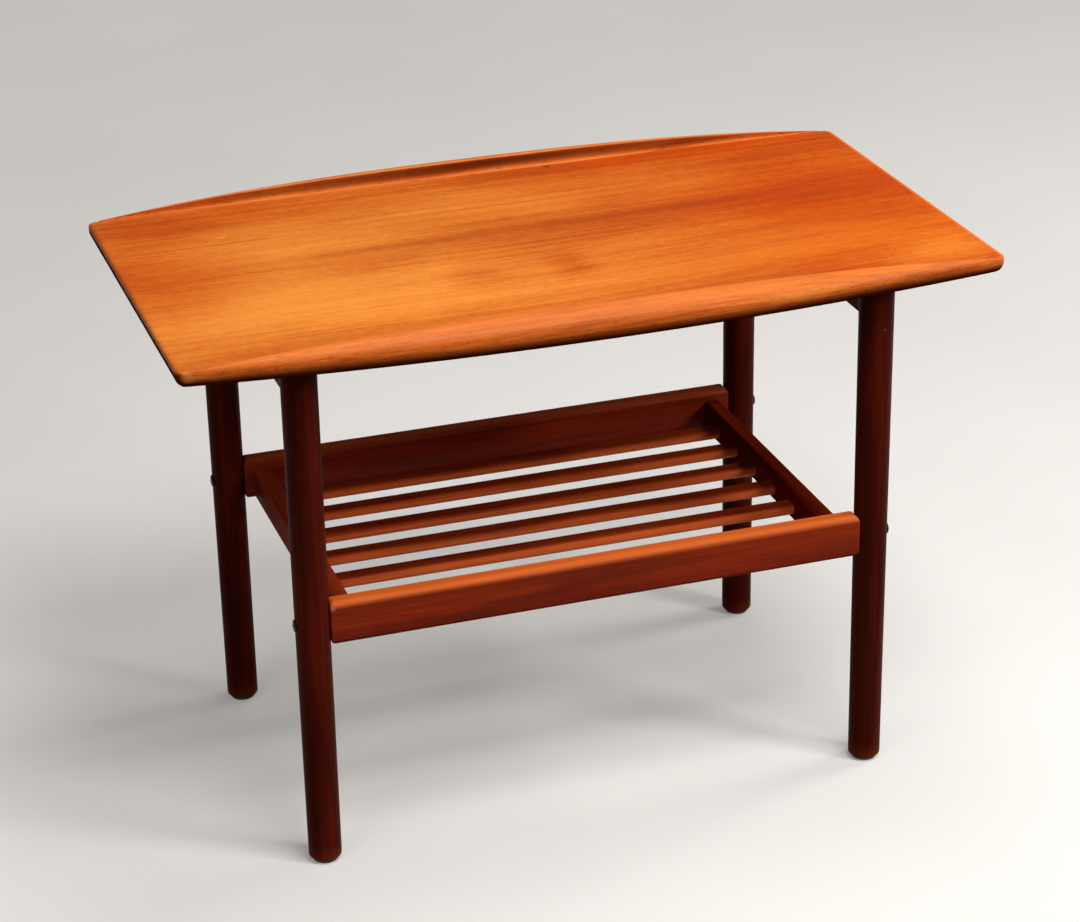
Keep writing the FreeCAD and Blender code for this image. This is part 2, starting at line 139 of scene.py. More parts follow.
# Wear and painted light across the inside of a lip: a dark joint, a pale line in the cove painted as a
# highlight, the steep face painted dark as shade, then the crest rubbed and painted pale as a highlight.
LIP_COVE_WEAR_AND_LIGHT = (-0.9, 0.5, 0.4, 0.2, 0.0, -0.1, -0.2, -0.3, -0.45, -0.6, -0.75, -0.85, -0.9, -0.9)
LIP_CREST_WEAR_AND_LIGHT = (-0.8, -0.5, 0.0, 0.6, 0.9, 0.9)

# Teak finishes: direction of the grain, shift of the pattern, tones from light to dark and where bare,
# roughness, shine, shares of bare wood and painted highlight and of old oil and painted shade, share of
# the pores, and marks.
RACK_TONES = ("solid_light", "solid_mid", "solid_dark", "bare_and_lit_rack")
SLAT_TONES = ("slat_light", "slat_mid", "slat_dark", "bare_and_lit_rack")
LEG_TONES = ("leg_light", "leg_mid", "leg_dark", "bare_and_lit_rack")
LIP_TONES = ("lip_light", "lip_mid", "lip_dark", "bare_and_lit_wood")
BACKING_TONES = ("veneer_brown", "veneer_dark", "solid_mid", "bare_and_lit_wood")
TEAK_FINISHES = {
    # Sliced and left with little oil, so it is brown and dull.
    "teak backing veneer": ("X", (0.3, 0.7, 0.2), BACKING_TONES, 0.5, 0.05, (0.2, 0.8), 0.24, ()),
    # Shaped and rubbed by hand: a satin shine and open pores; the crest is partly painted pale as a highlight,
    # and the edges are painted dark low down as shade.
    "solid teak lips": ("X", (0.5, 0.2, 0.9), LIP_TONES, 0.34, 0.09, (0.7, 0.95), 0.5, LIP_MARKS),
    # Planed and oiled red-brown; the top is painted bright as a highlight, partly as rubbing.
    "solid teak rails": ("X", (0.8, 0.3, 0.1), RACK_TONES, 0.4, 0.08, (1.0, 0.6), 0.3, RAIL_MARKS),
    # The same wood, seldom touched, so it hardly shines.
    "solid teak cross rails": ("Y", (0.2, 0.6, 0.4), RACK_TONES, 0.46, 0.02, (0.9, 0.8), 0.24, ()),
    # Sawn, and painted in the legs' dark tones as shade under the top.
    "solid teak bearers": ("Y", (0.7, 0.5, 0.8), LEG_TONES, 0.5, 0.02, (0.3, 0.6), 0.24, ()),
    # Rounded strips: their sides are painted pale as a highlight and their tops dark as shade.
    "solid teak slats": ("X", (0.4, 0.9, 0.7), SLAT_TONES, 0.34, 0.14, (0.74, 0.75), 0.24, ()),
    # Turned and stained dark, nearly without shine.
    "turned teak legs": ("Z", (0.6, 0.1, 0.3), LEG_TONES, 0.42, 0.02, (0.3, 0.6), 0.24, LEG_MARKS),
}
# Speckled finishes: size of a speck in mm, colours, roughness, metallic, bump in mm, shine, and the half
# width past which the piece is stained with old oil.
SPECKLED_FINISHES = {
    # Pressed flakes, dull all over.
    "raw chipboard": ((4, 2, 1.5), ((0.3, "#8a6236"), (0.5, "#b98f57"), (0.7, "#d8b888")), 0.8, 0.0, 0.4, 0.0,
                      186 * MM),
    # Turned and left raw: pale, with short flecks.
    "raw beech": ((3, 12, 3), ((0.3, "#b98a5c"), (0.5, "#cfa577"), (0.7, "#dcb88e")), 0.55, 0.0, 0.1, 0.2,
                  None),
    # Black oxide over steel: a dim satin with worn specks.
    "blackened steel": ((1.5, 1.5, 1.5), ((0.35, "#0b0a09"), (0.6, "black_finish"), (0.8, "#3a332d")), 0.42,
                        0.9, 0.05, 0.5, None),
    # Zinc plate: grey, bright and a little cloudy.
    "zinc plated steel": ((2, 2, 2), ((0.3, "#8e9094"), (0.5, "#b4b6b8"), (0.7, "#cfd0cc")), 0.34, 1.0, 0.05,
                          0.5, None),
    # Moulded and scuffed by the floor.
    "dark plastic": ((2, 2, 2), ((0.35, "#0f0c0a"), (0.6, "plastic"), (0.8, "#30261f")), 0.5, 0.0, 0.08, 0.5,
                     None),
}

# Edges past these angles, in degrees, stay crisp: on flat and small pieces, on legs, and on shaped bars.
CRISP_ANGLE, LEG_CRISP_ANGLE, BAR_CRISP_ANGLE = 35, 40, 50
MERGE_REACH = 0.002 * MM
LENGTH = "NodeSocketFloat"
WHOLE = "NodeSocketInt"
FLOOR_REACH = 12.0
CAMERA_PLACE = Vector((-0.78489, -2.41273, 1.42424))
CAMERA_YAW, CAMERA_PITCH, CAMERA_ROLL = 0.31426, 0.42297, -0.02107
CAMERA_LENS_MM = 98.76

# Places read from the solids, in metres.
VENEER_LOW, VENEER_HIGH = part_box("top_veneer")
BACKING_LOW, BACKING_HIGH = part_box("backing_veneer")
LIP_LOW, LIP_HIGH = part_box("back_lip")
LEG_LOW, LEG_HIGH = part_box("front_left_leg")
RAIL_FACE = -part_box("front_rail")[1].y
END_RAIL_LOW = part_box("right_end_rail")[0]
SLAT_BOXES = [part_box(f"slat_{number}") for number in range(1, 7)]
BOLT_LOW, BOLT_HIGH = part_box("rail_bolts")
GLIDE_LOW, GLIDE_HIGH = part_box("front_left_glide")


def linear(code):
    """An sRGB hex colour as linear red, green and blue."""
    parts = [int(code[place:place + 2], 16) / 255 for place in (1, 3, 5)]
    return tuple(part / 12.92 if part <= 0.04045 else ((part + 0.055) / 1.055) ** 2.4 for part in parts)


def length_value(name, description, default):
    """A length that the user can change, in metres."""
    return bpy.props.FloatProperty(name=name, description=description, default=default, min=0.0,
                                   precision=4, subtype="DISTANCE", unit="LENGTH")


def colour_value(name, description, code):
    """A colour that the user can change, given as an sRGB hex value."""
    return bpy.props.FloatVectorProperty(name=name, description=description, default=linear(code),
                                         min=0.0, max=1.0, size=3, subtype="COLOR")


class TableSizes(bpy.types.PropertyGroup):
    """Sizes of the table; the defaults are those of the solids."""
    half_length: length_value("Half length", "Middle of the top to its end", CAD_BOX[1].x)
    half_width: length_value("Half width", "Middle of the top to its edge at mid length", LIP_HIGH.y)
    edge_bow: length_value("Edge bow", "How far a long edge bows out between its ends", 27.8 * MM)
    corner_radius: length_value("Corner radius", "Rounding of the top's corners in plan", 9 * MM)
    underside_radius: length_value("Underside rounding", "Rounding of the top's lower edge", 10 * MM)
    arris_radius: length_value("End arris", "Rounding of the top's upper edge at its ends", 2 * MM)
    joint_line: length_value("Joint line", "Middle of the top to the lip's joint", LIP_LOW.y)
    lip_tip: length_value("Lip tip", "Middle of the top to the tip of a lip", LIP_HIGH.x)
    lip_height: length_value("Lip height", "Rise of a lip at mid length",
                             LIP_HIGH.z - VENEER_HIGH.z - LIP_TIP_HEIGHT)
    lip_cove: length_value("Lip cove", "Width of the hollow inside a lip at mid length", 4.6 * MM)
    leg_top_radius: length_value("Leg top radius", "Radius of a leg under the top", 16 * MM)
    leg_foot_radius: length_value("Leg foot radius", "Radius of a leg at the floor", 15 * MM)
    leg_foot_rounding: length_value("Foot rounding", "Rounding of a leg's lower edge", 3 * MM)
    rail_top_rounding: length_value("Rail top rounding", "Rounding of a long rail's upper edges", 6 * MM)
    rail_end_rounding: length_value("Rail end rounding", "Easing of a long rail's ends", 4.5 * MM)
    slat_rounding: length_value("Slat rounding", "Rounding of a slat's edges", 4.8 * MM)
    bolt_head_radius: length_value("Bolt head radius", "Radius of a bolt head", 6 * MM)
    bolt_head_height: length_value("Bolt head height", "Height of a bolt head", 3.3 * MM)
    bolt_socket_flats: length_value("Bolt socket", "Width across the flats of the bolt's socket", 4 * MM)
    glide_rounding: length_value("Glide rounding", "Rounding of a glide's lower edge", 1.4 * MM)


class TableColours(bpy.types.PropertyGroup):
    """Colours of the table's materials and of the floor."""
    veneer_light: colour_value("Veneer light", "Golden bands of the face veneer", "#f8963c")
    veneer_mid: colour_value("Veneer middle", "Main orange of the face veneer", "#e07a2a")
    veneer_brown: colour_value("Veneer brown", "Brown bands of the face veneer", "#c86120")
    veneer_dark: colour_value("Veneer dark", "Darkest streaks of the face veneer", "#a84a18")
    red_light: colour_value("Red veneer light", "Light streaks of the redder end", "#e6741d")
    red_mid: colour_value("Red veneer middle", "Main colour of the redder end", "#c84b0e")
    red_dark: colour_value("Red veneer dark", "Dark streaks of the redder end", "#9a320a")
    solid_light: colour_value("Solid light", "Light grain of the solid teak", "#9c300f")
    solid_mid: colour_value("Solid middle", "Main colour of the solid teak", "#80220b")
    solid_dark: colour_value("Solid dark", "Dark grain of the solid teak", "#5f1909")
    slat_light: colour_value("Slat light", "Light grain of the slats", "#d05520")
    slat_mid: colour_value("Slat middle", "Main colour of the slats", "#b84416")
    slat_dark: colour_value("Slat dark", "Dark grain of the slats", "#842b0e")
    leg_light: colour_value("Leg light", "Light grain of the legs", "#661c0c")
    leg_mid: colour_value("Leg middle", "Main colour of the legs", "#4c1409")
    leg_dark: colour_value("Leg dark", "Dark grain of the legs", "#390e06")
    lip_light: colour_value("Lip light", "Light grain of the lips", "#ec8536")
    lip_mid: colour_value("Lip middle", "Main colour of the lips", "#d96824")
    lip_dark: colour_value("Lip dark", "Dark grain of the lips", "#ae4a16")
    # The worn colours also paint highlights where light catches crests, tops and slat sides, and old oil also
    # paints shade low on the edges and on shaded faces.
    bare_and_lit_wood: colour_value("Worn edge", "Bare wood where an edge of the top is worn", "#f28a40")
    bare_and_lit_rack: colour_value("Worn rack", "Rubbed wood on the rack and the legs", "#f5752f")
    old_oil_and_shade: colour_value("Old oil", "Dark old oil low on the edges", "#430e04")
    pore: colour_value("Pores", "Dark pores of the teak", "#35140a")
    black_finish: colour_value("Black finish", "Blackened bolt heads", "#14110f")
    plastic: colour_value("Glides", "Dark plastic of the glides", "#1c1512")
    floor: colour_value("Floor", "Pale studio floor", "#e6e3de")


def fill(tree, made, inputs):
    """Link or set a node's inputs. A socket is named by its name or its number."""
    for key, value in inputs.items():
        if isinstance(value, bpy.types.NodeSocket):
            tree.links.new(value, made.inputs[key])
        else:
            made.inputs[key].default_value = value


def node(tree, kind, inputs=None, stops=None, **settings):
    """Add one node, set it up and link it."""
    made = tree.nodes.new(kind)
    for key, value in settings.items():
        setattr(made, key, value)
    if stops:
        elements = made.color_ramp.elements
        while len(elements) < len(stops):
            elements.new(1.0)
        for element, (place, colour) in zip(elements, stops):
            element.position = place
            element.color = (*colour, 1.0)
    fill(tree, made, inputs or {})
    return made


def new_material(name):
    """An empty node material with its shader and output; gives the material, its tree and the shader."""
    material = bpy.data.materials.new(name)
    material.use_nodes = True
    tree = material.node_tree
    tree.nodes.clear()
    shader = tree.nodes.new("ShaderNodeBsdfPrincipled")
    node(tree, "ShaderNodeOutputMaterial", {"Surface": shader.outputs["BSDF"]})
    return material, tree, shader


def grain_noises(tree, source, layers):
    """Noises drawn out along the grain, one for each (length mm, width mm, detail, twist, shift)."""
    noises = []
    for length, width, detail, twist, shift in layers:
        stretch = (1 / (length * MM), 1 / (width * MM), 1 / (width * MM))
        drawn = node(tree, "ShaderNodeMapping", {"Vector": source, "Scale": stretch, "Location": shift})
        noises.append(node(tree, "ShaderNodeTexNoise", {
            "Vector": drawn.outputs["Vector"], "Scale": 1.0, "Detail": detail, "Roughness": 0.55,
            "Distortion": twist}).outputs["Fac"])
    return noises


def paint_wear_and_light(tree, colour, streak, worn_and_lit, bare_and_lit_wood, old_oil_and_shade, bare_and_lit_share, oil_and_shade_share):
    """Bare wood above zero, for wear and painted highlight; dark old oil below zero, for oil and painted
    shade.
    """
    bare_and_lit = node(tree, "ShaderNodeMapRange", {"Value": worn_and_lit, "To Max": bare_and_lit_share})
    patchy = node(tree, "ShaderNodeMapRange", {"Value": streak, "From Min": 0.3, "From Max": 0.65,
                                               "To Min": 0.75})
    rubbed_and_lit = node(tree, "ShaderNodeMath", {0: bare_and_lit.outputs[0], 1: patchy.outputs[0]}, operation="MULTIPLY")
    paled = node(tree, "ShaderNodeMix", {0: rubbed_and_lit.outputs[0], 6: colour, 7: (*bare_and_lit_wood, 1.0)},
                 data_type="RGBA")
    oiled_and_shaded = node(tree, "ShaderNodeMapRange", {"Value": worn_and_lit, "From Max": -1.0, "To Max": oil_and_shade_share})
    return node(tree, "ShaderNodeMix", {0: oiled_and_shaded.outputs[0], 6: paled.outputs[2], 7: (*old_oil_and_shade, 1.0)},
                data_type="RGBA").outputs[2]


def marked(tree, colour, place, marks):
    """The colour with small round marks set in it."""
    for centre, reach, strength, code in marks:
        off = node(tree, "ShaderNodeVectorMath", {0: place, 1: centre}, operation="DISTANCE")
        near = node(tree, "ShaderNodeMapRange", {"Value": off.outputs["Value"], "From Min": reach,
                                                 "From Max": 0.0, "To Max": strength},
                    interpolation_type="SMOOTHERSTEP")
        colour = node(tree, "ShaderNodeMix", {0: near.outputs[0], 6: colour, 7: (*linear(code), 1.0)},
                      data_type="RGBA").outputs[2]
    return colour


def teak(name, colours, along, shift, tones, roughness, shine, wear_and_light_shares, pore_share, marks):
    """Oiled solid teak: long brown figure, fine streaks and short dark pores along the grain."""
    material, tree, shader = new_material(name)
    place = node(tree, "ShaderNodeTexCoord").outputs["Object"]
    turned = node(tree, "ShaderNodeMapping", {"Vector": place, "Rotation": GRAIN_TURNS[along]}).outputs[0]
    # Figure about 20 mm wide and streaks about 2 mm. Real pores are 0.3 mm wide; drawn at 0.8 mm to show.
    figure, streak, pore = grain_noises(tree, turned, (
        (190, 18, 3, 0.5, shift), (150, 2.2, 3, 0.1, shift), (9, 0.8, 1, 0.0, shift)))
    tone = node(tree, "ShaderNodeMath", {0: figure, 1: 0.62}, operation="MULTIPLY")
    tone = node(tree, "ShaderNodeMath", {0: streak, 1: 0.38, 2: tone.outputs[0]}, operation="MULTIPLY_ADD")
    light, mid, dark, bare_and_lit_wood = [getattr(colours, tone_name) for tone_name in tones]
    wood = node(tree, "ShaderNodeValToRGB", {"Fac": tone.outputs[0]},
                stops=[(0.34, dark), (0.50, mid), (0.66, light)])
    flecks = node(tree, "ShaderNodeMapRange", {"Value": pore, "From Min": 0.56, "From Max": 0.74,
                                               "To Max": pore_share}).outputs[0]
    pored = node(tree, "ShaderNodeMix", {0: flecks, 6: wood.outputs["Color"], 7: (*colours.pore, 1.0)},
                 data_type="RGBA").outputs[2]
    gloss = node(tree, "ShaderNodeMapRange", {"Value": streak, "From Min": 0.3, "From Max": 0.7,
                                              "To Min": roughness - 0.05, "To Max": roughness + 0.08})
    relief = node(tree, "ShaderNodeMath", {0: flecks, 1: -0.8, 2: streak}, operation="MULTIPLY_ADD")
    bump = node(tree, "ShaderNodeBump", {"Height": relief.outputs[0], "Strength": 0.2, "Distance": 0.3 * MM})
    worn_and_lit = node(tree, "ShaderNodeAttribute", attribute_name=WEAR_AND_LIGHT).outputs["Fac"]
    rubbed_and_lit = paint_wear_and_light(tree, pored, streak, worn_and_lit, bare_and_lit_wood, colours.old_oil_and_shade, *wear_and_light_shares)
    # Where the wood is painted dark, as old oil and as painted shade, it hardly shines.
    sheen = node(tree, "ShaderNodeMapRange", {"Value": worn_and_lit, "From Min": -0.6, "From Max": 0.0,
                                              "To Max": shine})
    fill(tree, shader, {"Base Color": marked(tree, rubbed_and_lit, place, marks), "IOR": WOOD_IOR,
                        "Specular IOR Level": sheen.outputs["Result"], "Roughness": gloss.outputs["Result"],
                        "Normal": bump.outputs["Normal"]})
    return material


def face_veneer(colours):
    """Book-matched teak veneer under satin oil: golden and brown bands, mirrored at a cross joint."""
    material, tree, shader = new_material("teak face veneer")
    place = node(tree, "ShaderNodeTexCoord").outputs["Object"]
    split = node(tree, "ShaderNodeSeparateXYZ", {"Vector": place})
    x, y = split.outputs["X"], split.outputs["Y"]
    apart = node(tree, "ShaderNodeMath", {0: x, 1: -VENEER_JOINT_X}, operation="ADD").outputs[0]
    leaf = node(tree, "ShaderNodeMath", {0: apart}, operation="ABSOLUTE").outputs[0]
    # On the right leaf the grain rises a little towards the end, most along the front.
    rise = node(tree, "ShaderNodeMapRange", {"Value": y, "From Min": -0.2, "From Max": 0.2, "To Min": -0.10,
                                             "To Max": 0.0}).outputs[0]
    right_leaf = node(tree, "ShaderNodeMath", {0: apart, 1: 0.0}, operation="MAXIMUM").outputs[0]
    fanned = node(tree, "ShaderNodeMath", {0: right_leaf, 1: rise, 2: y},
                  operation="MULTIPLY_ADD").outputs[0]
    folded = node(tree, "ShaderNodeCombineXYZ", {"X": leaf, "Y": fanned}).outputs[0]
    swept = node(tree, "ShaderNodeCombineXYZ", {"X": x, "Y": fanned}).outputs[0]
    # Figure 46 mm wide, streaks 9 and 2.4 mm wide, clouds 38 mm wide and dark lines 3 mm wide. Pores are
    # drawn at 0.9 mm so that they show.
    figure, band, streak, pore, shimmer = grain_noises(tree, folded, (
        (330, 46, 2, 0.6, (2.7, 1.3, 0.4)), (420, 9, 3, 0.25, (5.1, 0.3, 0.2)),
        (260, 2.4, 4, 0.15, (1.4, 4.2, 0.9)), (16, 0.9, 1, 0.0, (0.2, 0.8, 0.1)),
        (7, 5, 2, 0.4, (3.3, 2.1, 0.5))))
    cloud, line = grain_noises(tree, swept, (
        (110, 38, 2, 0.4, (4.3, 1.9, 0.7)), (190, 3.2, 1, 0.3, (1.1, 2.6, 0.3))))
    sway = node(tree, "ShaderNodeMapRange", {"Value": figure, "To Min": -0.03, "To Max": 0.03})
    across = node(tree, "ShaderNodeMath", {0: fanned, 1: sway.outputs[0]}, operation="ADD")
    spread = node(tree, "ShaderNodeMapRange", {"Value": across.outputs[0], "From Min": -0.2, "From Max": 0.2})
    tone = node(tree, "ShaderNodeValToRGB", {"Fac": spread.outputs[0]},
                stops=[(share, (grey, grey, grey)) for share, grey in VENEER_BANDS]).outputs["Color"]
    for noise, reach in ((band, 0.13), (cloud, 0.11), (streak, 0.12), (shimmer, 0.09)):
        part = node(tree, "ShaderNodeMapRange", {"Value": noise, "From Min": 0.25, "From Max": 0.75,
                                                 "To Min": -reach, "To Max": reach}, clamp=False)
        tone = node(tree, "ShaderNodeMath", {0: tone, 1: part.outputs[0]}, operation="ADD").outputs[0]
    lined = node(tree, "ShaderNodeMapRange", {"Value": line, "From Min": 0.64, "From Max": 0.76,
                                              "To Max": -0.24})
    seam = node(tree, "ShaderNodeMapRange", {"Value": leaf, "From Max": 0.8 * MM, "To Min": -0.10,
                                             "To Max": 0.0})
    for part in (lined, seam):
        tone = node(tree, "ShaderNodeMath", {0: tone, 1: part.outputs[0]}, operation="ADD").outputs[0]
    # The right end is painted redder and darker: partly the veneer's own colour, partly painted shade.
    redness = node(tree, "ShaderNodeMapRange", {"Value": x, "From Min": -0.12, "From Max": 0.34,
                                                "To Max": 0.95}, interpolation_type="SMOOTHSTEP").outputs[0]
    for centre, radii, tone_change, red_change in VENEER_PATCHES:
        off = node(tree, "ShaderNodeVectorMath", {0: place, 1: (*centre, VENEER_HIGH.z)}, operation="SUBTRACT")
        scaled = node(tree, "ShaderNodeVectorMath", {0: off.outputs[0], 1: (*radii, 1.0)}, operation="DIVIDE")
        far = node(tree, "ShaderNodeVectorMath", {0: scaled.outputs[0]}, operation="LENGTH")
        near = node(tree, "ShaderNodeMapRange", {"Value": far.outputs["Value"], "From Min": 1.0,
                                                 "From Max": 0.0}, interpolation_type="SMOOTHSTEP").outputs[0]
        tone = node(tree, "ShaderNodeMath", {0: near, 1: tone_change, 2: tone},
                    operation="MULTIPLY_ADD").outputs[0]
        redness = node(tree, "ShaderNodeMath", {0: near, 1: red_change, 2: redness},
                       operation="MULTIPLY_ADD").outputs[0]
    golden = node(tree, "ShaderNodeValToRGB", {"Fac": tone}, stops=[
        (0.0, colours.veneer_dark), (0.38, colours.veneer_brown), (0.62, colours.veneer_mid),
        (1.0, colours.veneer_light)])
    fiery = node(tree, "ShaderNodeValToRGB", {"Fac": tone}, stops=[
        (0.0, colours.red_dark), (0.5, colours.red_mid), (1.0, colours.red_light)])
    wood = node(tree, "ShaderNodeMix", {0: redness, 6: golden.outputs["Color"], 7: fiery.outputs["Color"]},
                data_type="RGBA").outputs[2]
    flecks = node(tree, "ShaderNodeMapRange", {"Value": pore, "From Min": 0.58, "From Max": 0.75,
                                               "To Max": 0.22}).outputs[0]
    pored = node(tree, "ShaderNodeMix", {0: flecks, 6: wood, 7: (*colours.pore, 1.0)},
                 data_type="RGBA").outputs[2]
    gloss = node(tree, "ShaderNodeMapRange", {"Value": figure, "From Min": 0.3, "From Max": 0.7,
                                              "To Min": 0.38, "To Max": 0.48})
    bump = node(tree, "ShaderNodeBump", {"Height": streak, "Strength": 0.08, "Distance": 0.2 * MM})
    worn_and_lit = node(tree, "ShaderNodeAttribute", attribute_name=WEAR_AND_LIGHT).outputs["Fac"]
    rubbed_and_lit = paint_wear_and_light(tree, pored, streak, worn_and_lit, colours.bare_and_lit_wood, colours.old_oil_and_shade, 0.9, 0.8)
    fill(tree, shader, {"Base Color": rubbed_and_lit, "IOR": WOOD_IOR, "Specular IOR Level": WOOD_SPECULAR,
                        "Roughness": gloss.outputs["Result"], "Normal": bump.outputs["Normal"]})
    return material


def speckled(name, colours, scale_mm, tints, roughness, metallic, bump_mm, shine, stained_past):
    """A finish with a fine speckle: chipboard flakes, beech flecks, plated or blackened steel, plastic."""
    material, tree, shader = new_material(name)
    place = node(tree, "ShaderNodeTexCoord").outputs["Object"]
    stretch = tuple(1 / (size * MM) for size in scale_mm)
    drawn = node(tree, "ShaderNodeMapping", {"Vector": place, "Scale": stretch})
    speck = node(tree, "ShaderNodeTexNoise", {"Vector": drawn.outputs["Vector"], "Scale": 1.0, "Detail": 4,
                                              "Roughness": 0.6}).outputs["Fac"]
    stops = [(spot, linear(tint) if tint[0] == "#" else getattr(colours, tint)) for spot, tint in tints]
    colour = node(tree, "ShaderNodeValToRGB", {"Fac": speck}, stops=stops).outputs["Color"]
    if stained_past:
        split = node(tree, "ShaderNodeSeparateXYZ", {"Vector": place})
        off = node(tree, "ShaderNodeMath", {0: split.outputs["Y"]}, operation="ABSOLUTE")
        reach = node(tree, "ShaderNodeMapRange", {"Value": off.outputs[0], "From Min": stained_past - MM,
                                                  "From Max": stained_past, "To Max": 0.92})
        colour = node(tree, "ShaderNodeMix", {0: reach.outputs[0], 6: colour, 7: (*colours.old_oil_and_shade, 1.0)},
                      data_type="RGBA").outputs[2]
    gloss = node(tree, "ShaderNodeMapRange", {"Value": speck, "From Min": 0.3, "From Max": 0.7,
                                              "To Min": roughness - 0.06, "To Max": roughness + 0.08})
    bump = node(tree, "ShaderNodeBump", {"Height": speck, "Strength": 0.2, "Distance": bump_mm * MM})
    fill(tree, shader, {"Base Color": colour, "Metallic": metallic, "Specular IOR Level": shine,
                        "Roughness": gloss.outputs["Result"], "Normal": bump.outputs["Normal"]})
    return material


def finish_named(name, colours):
    """The material of that name, made on first use; no plain material of the solids has such a name."""
    if name in bpy.data.materials:
        return bpy.data.materials[name]
    if name == "teak face veneer":
        return face_veneer(colours)
    if name in TEAK_FINISHES:
        return teak(name, colours, *TEAK_FINISHES[name])
    return speckled(name, colours, *SPECKLED_FINISHES[name])


def finish_piece(name, mesh, material, nodes):
    """Put a finished mesh in the scene, on the table's body, in the place of its solids."""
    mesh.name = name
    piece = bpy.data.objects.new(name, mesh)
    bpy.context.scene.collection.objects.link(piece)
    mesh.materials.clear()
    mesh.materials.append(material)
    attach(piece, BODY)
    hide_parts(*nodes)
    return piece


def closed_mesh(name, points, faces, wear, crease_degrees):
    """A closed smooth mesh with outward faces, sharp past an angle, with wear and painted light at each point.
    """
    mesh = bpy.data.meshes.new(name)
    mesh.from_pydata(points, [], faces)
    values = mesh.attributes.new(WEAR_AND_LIGHT, "FLOAT", "POINT")
    values.data.foreach_set("value", wear)
    shell = bmesh.new()
    shell.from_mesh(mesh)
    bmesh.ops.remove_doubles(shell, verts=shell.verts, dist=MERGE_REACH)
    bmesh.ops.dissolve_degenerate(shell, edges=shell.edges, dist=MERGE_REACH)
    bmesh.ops.recalc_face_normals(shell, faces=shell.faces)
    if shell.calc_volume(signed=True) < 0:
        bmesh.ops.reverse_faces(shell, faces=shell.faces)
    shell.to_mesh(mesh)
    shell.free()
    mesh.shade_smooth()
    mesh.set_sharp_from_angle(angle=math.radians(crease_degrees))
    return mesh


def skin(rings, count):
    """Faces that join rings of so many points each, with a flat face on the first and the last ring."""
    faces = []
    for ring in range(rings - 1):
        for step in range(count):
            after = (step + 1) % count
            faces.append((ring * count + step, ring * count + after,
                          (ring + 1) * count + after, (ring + 1) * count + step))
    last = (rings - 1) * count
    return faces + [tuple(range(count)), tuple(range(last, last + count))]


def edge_wear_and_light(share, crest, fall=2.2):
    """Wear and painted light down the top's edge: pale crest at 0, partly painted highlight; painted shade at
    1.
    """
    return max(-1.0, min(crest, crest + 0.2 - fall * share))


def end_crest(way, side):
    """Wear and painted light of the crest round an end: that of a lip's tip, turning into that of the end
    itself.
    """
    return LIP_TIP_CREST + (END_CRESTS[side] - LIP_TIP_CREST) * way.x ** 2


def round_inset(radius, past):
    """How far a quarter round has drawn in, at a distance past its start."""
    return radius - math.sqrt(max(0.0, radius ** 2 - max(0.0, past) ** 2))


def edge_radius(sizes):
    """Radius of the long edges' sweep, from their length and bow."""
    return (sizes.half_length ** 2 + sizes.edge_bow ** 2) / (2 * sizes.edge_bow)


def edge_half_width(sizes, x):
    """Half the width of the top at a place along its length: one long arc."""
    radius = edge_radius(sizes)
    return sizes.half_width - radius + math.sqrt(radius ** 2 - x ** 2)


def mirrored(path):
    """The path's mirror image on the front edge, in the other order."""
    return [(Vector((spot.x, -spot.y)), Vector((way.x, -way.y))) for spot, way in reversed(path)]


def lip_path(sizes, start):
    """Places and outward directions along the back edge, from the inner side of an end to the lip's tip."""
    radius = edge_radius(sizes)
    path = []
    for step in range(BESIDE_LIP_STEPS):
        x = start + (sizes.lip_tip - start) * step / BESIDE_LIP_STEPS
        way = Vector((x / radius, math.sqrt(1 - (x / radius) ** 2)))
        path.append((Vector((x, edge_half_width(sizes, x))), way))
    return path


def end_path(sizes):
    """Places and outward directions round the right end, from the back lip's tip to the front lip's."""
    radius = edge_radius(sizes)
    centre = sizes.half_width - radius
    corner = sizes.corner_radius
    corner_x = sizes.half_length - corner
    corner_y = centre + math.sqrt((radius - corner) ** 2 - corner_x ** 2)
    turn = math.atan2(corner_y - centre, corner_x)
    tip_turn = math.acos(sizes.lip_tip / radius)
    back = []
    for step in range(TIP_STEPS):
        angle = tip_turn + (turn - tip_turn) * step / TIP_STEPS
        way = Vector((math.cos(angle), math.sin(angle)))
        back.append((Vector((0, centre)) + radius * way, way))
    for step in range(2 * ROUND_STEPS + 1):
        angle = turn * (1 - step / (2 * ROUND_STEPS))
        way = Vector((math.cos(angle), math.sin(angle)))
        back.append((Vector((corner_x, corner_y)) + corner * way, way))
    for step in range(1, END_STEPS):
        back.append((Vector((sizes.half_length, corner_y * (1 - step / END_STEPS))), Vector((1, 0))))
    middle = [(Vector((sizes.half_length, 0)), Vector((1, 0)))]
    return back + middle + mirrored(back)


def sheet_outline(sizes):
    """The closed outline of a veneer sheet: both ends and both joint lines, with a share of end rounding."""
    right = [(spot, way, 1.0) for spot, way in end_path(sizes)]
    left = [(-spot, -way, 1.0) for spot, way, share in right]
    front = []
    for step in range(JOINT_STEPS + 1):
        x = sizes.lip_tip * (1 - 2 * step / JOINT_STEPS)
        front.append((Vector((x, -sizes.joint_line)), Vector((0, -1)), JOINT_ROUND_SHARE))
    back = [(-spot, -way, share) for spot, way, share in front]
    return right + front + left + back


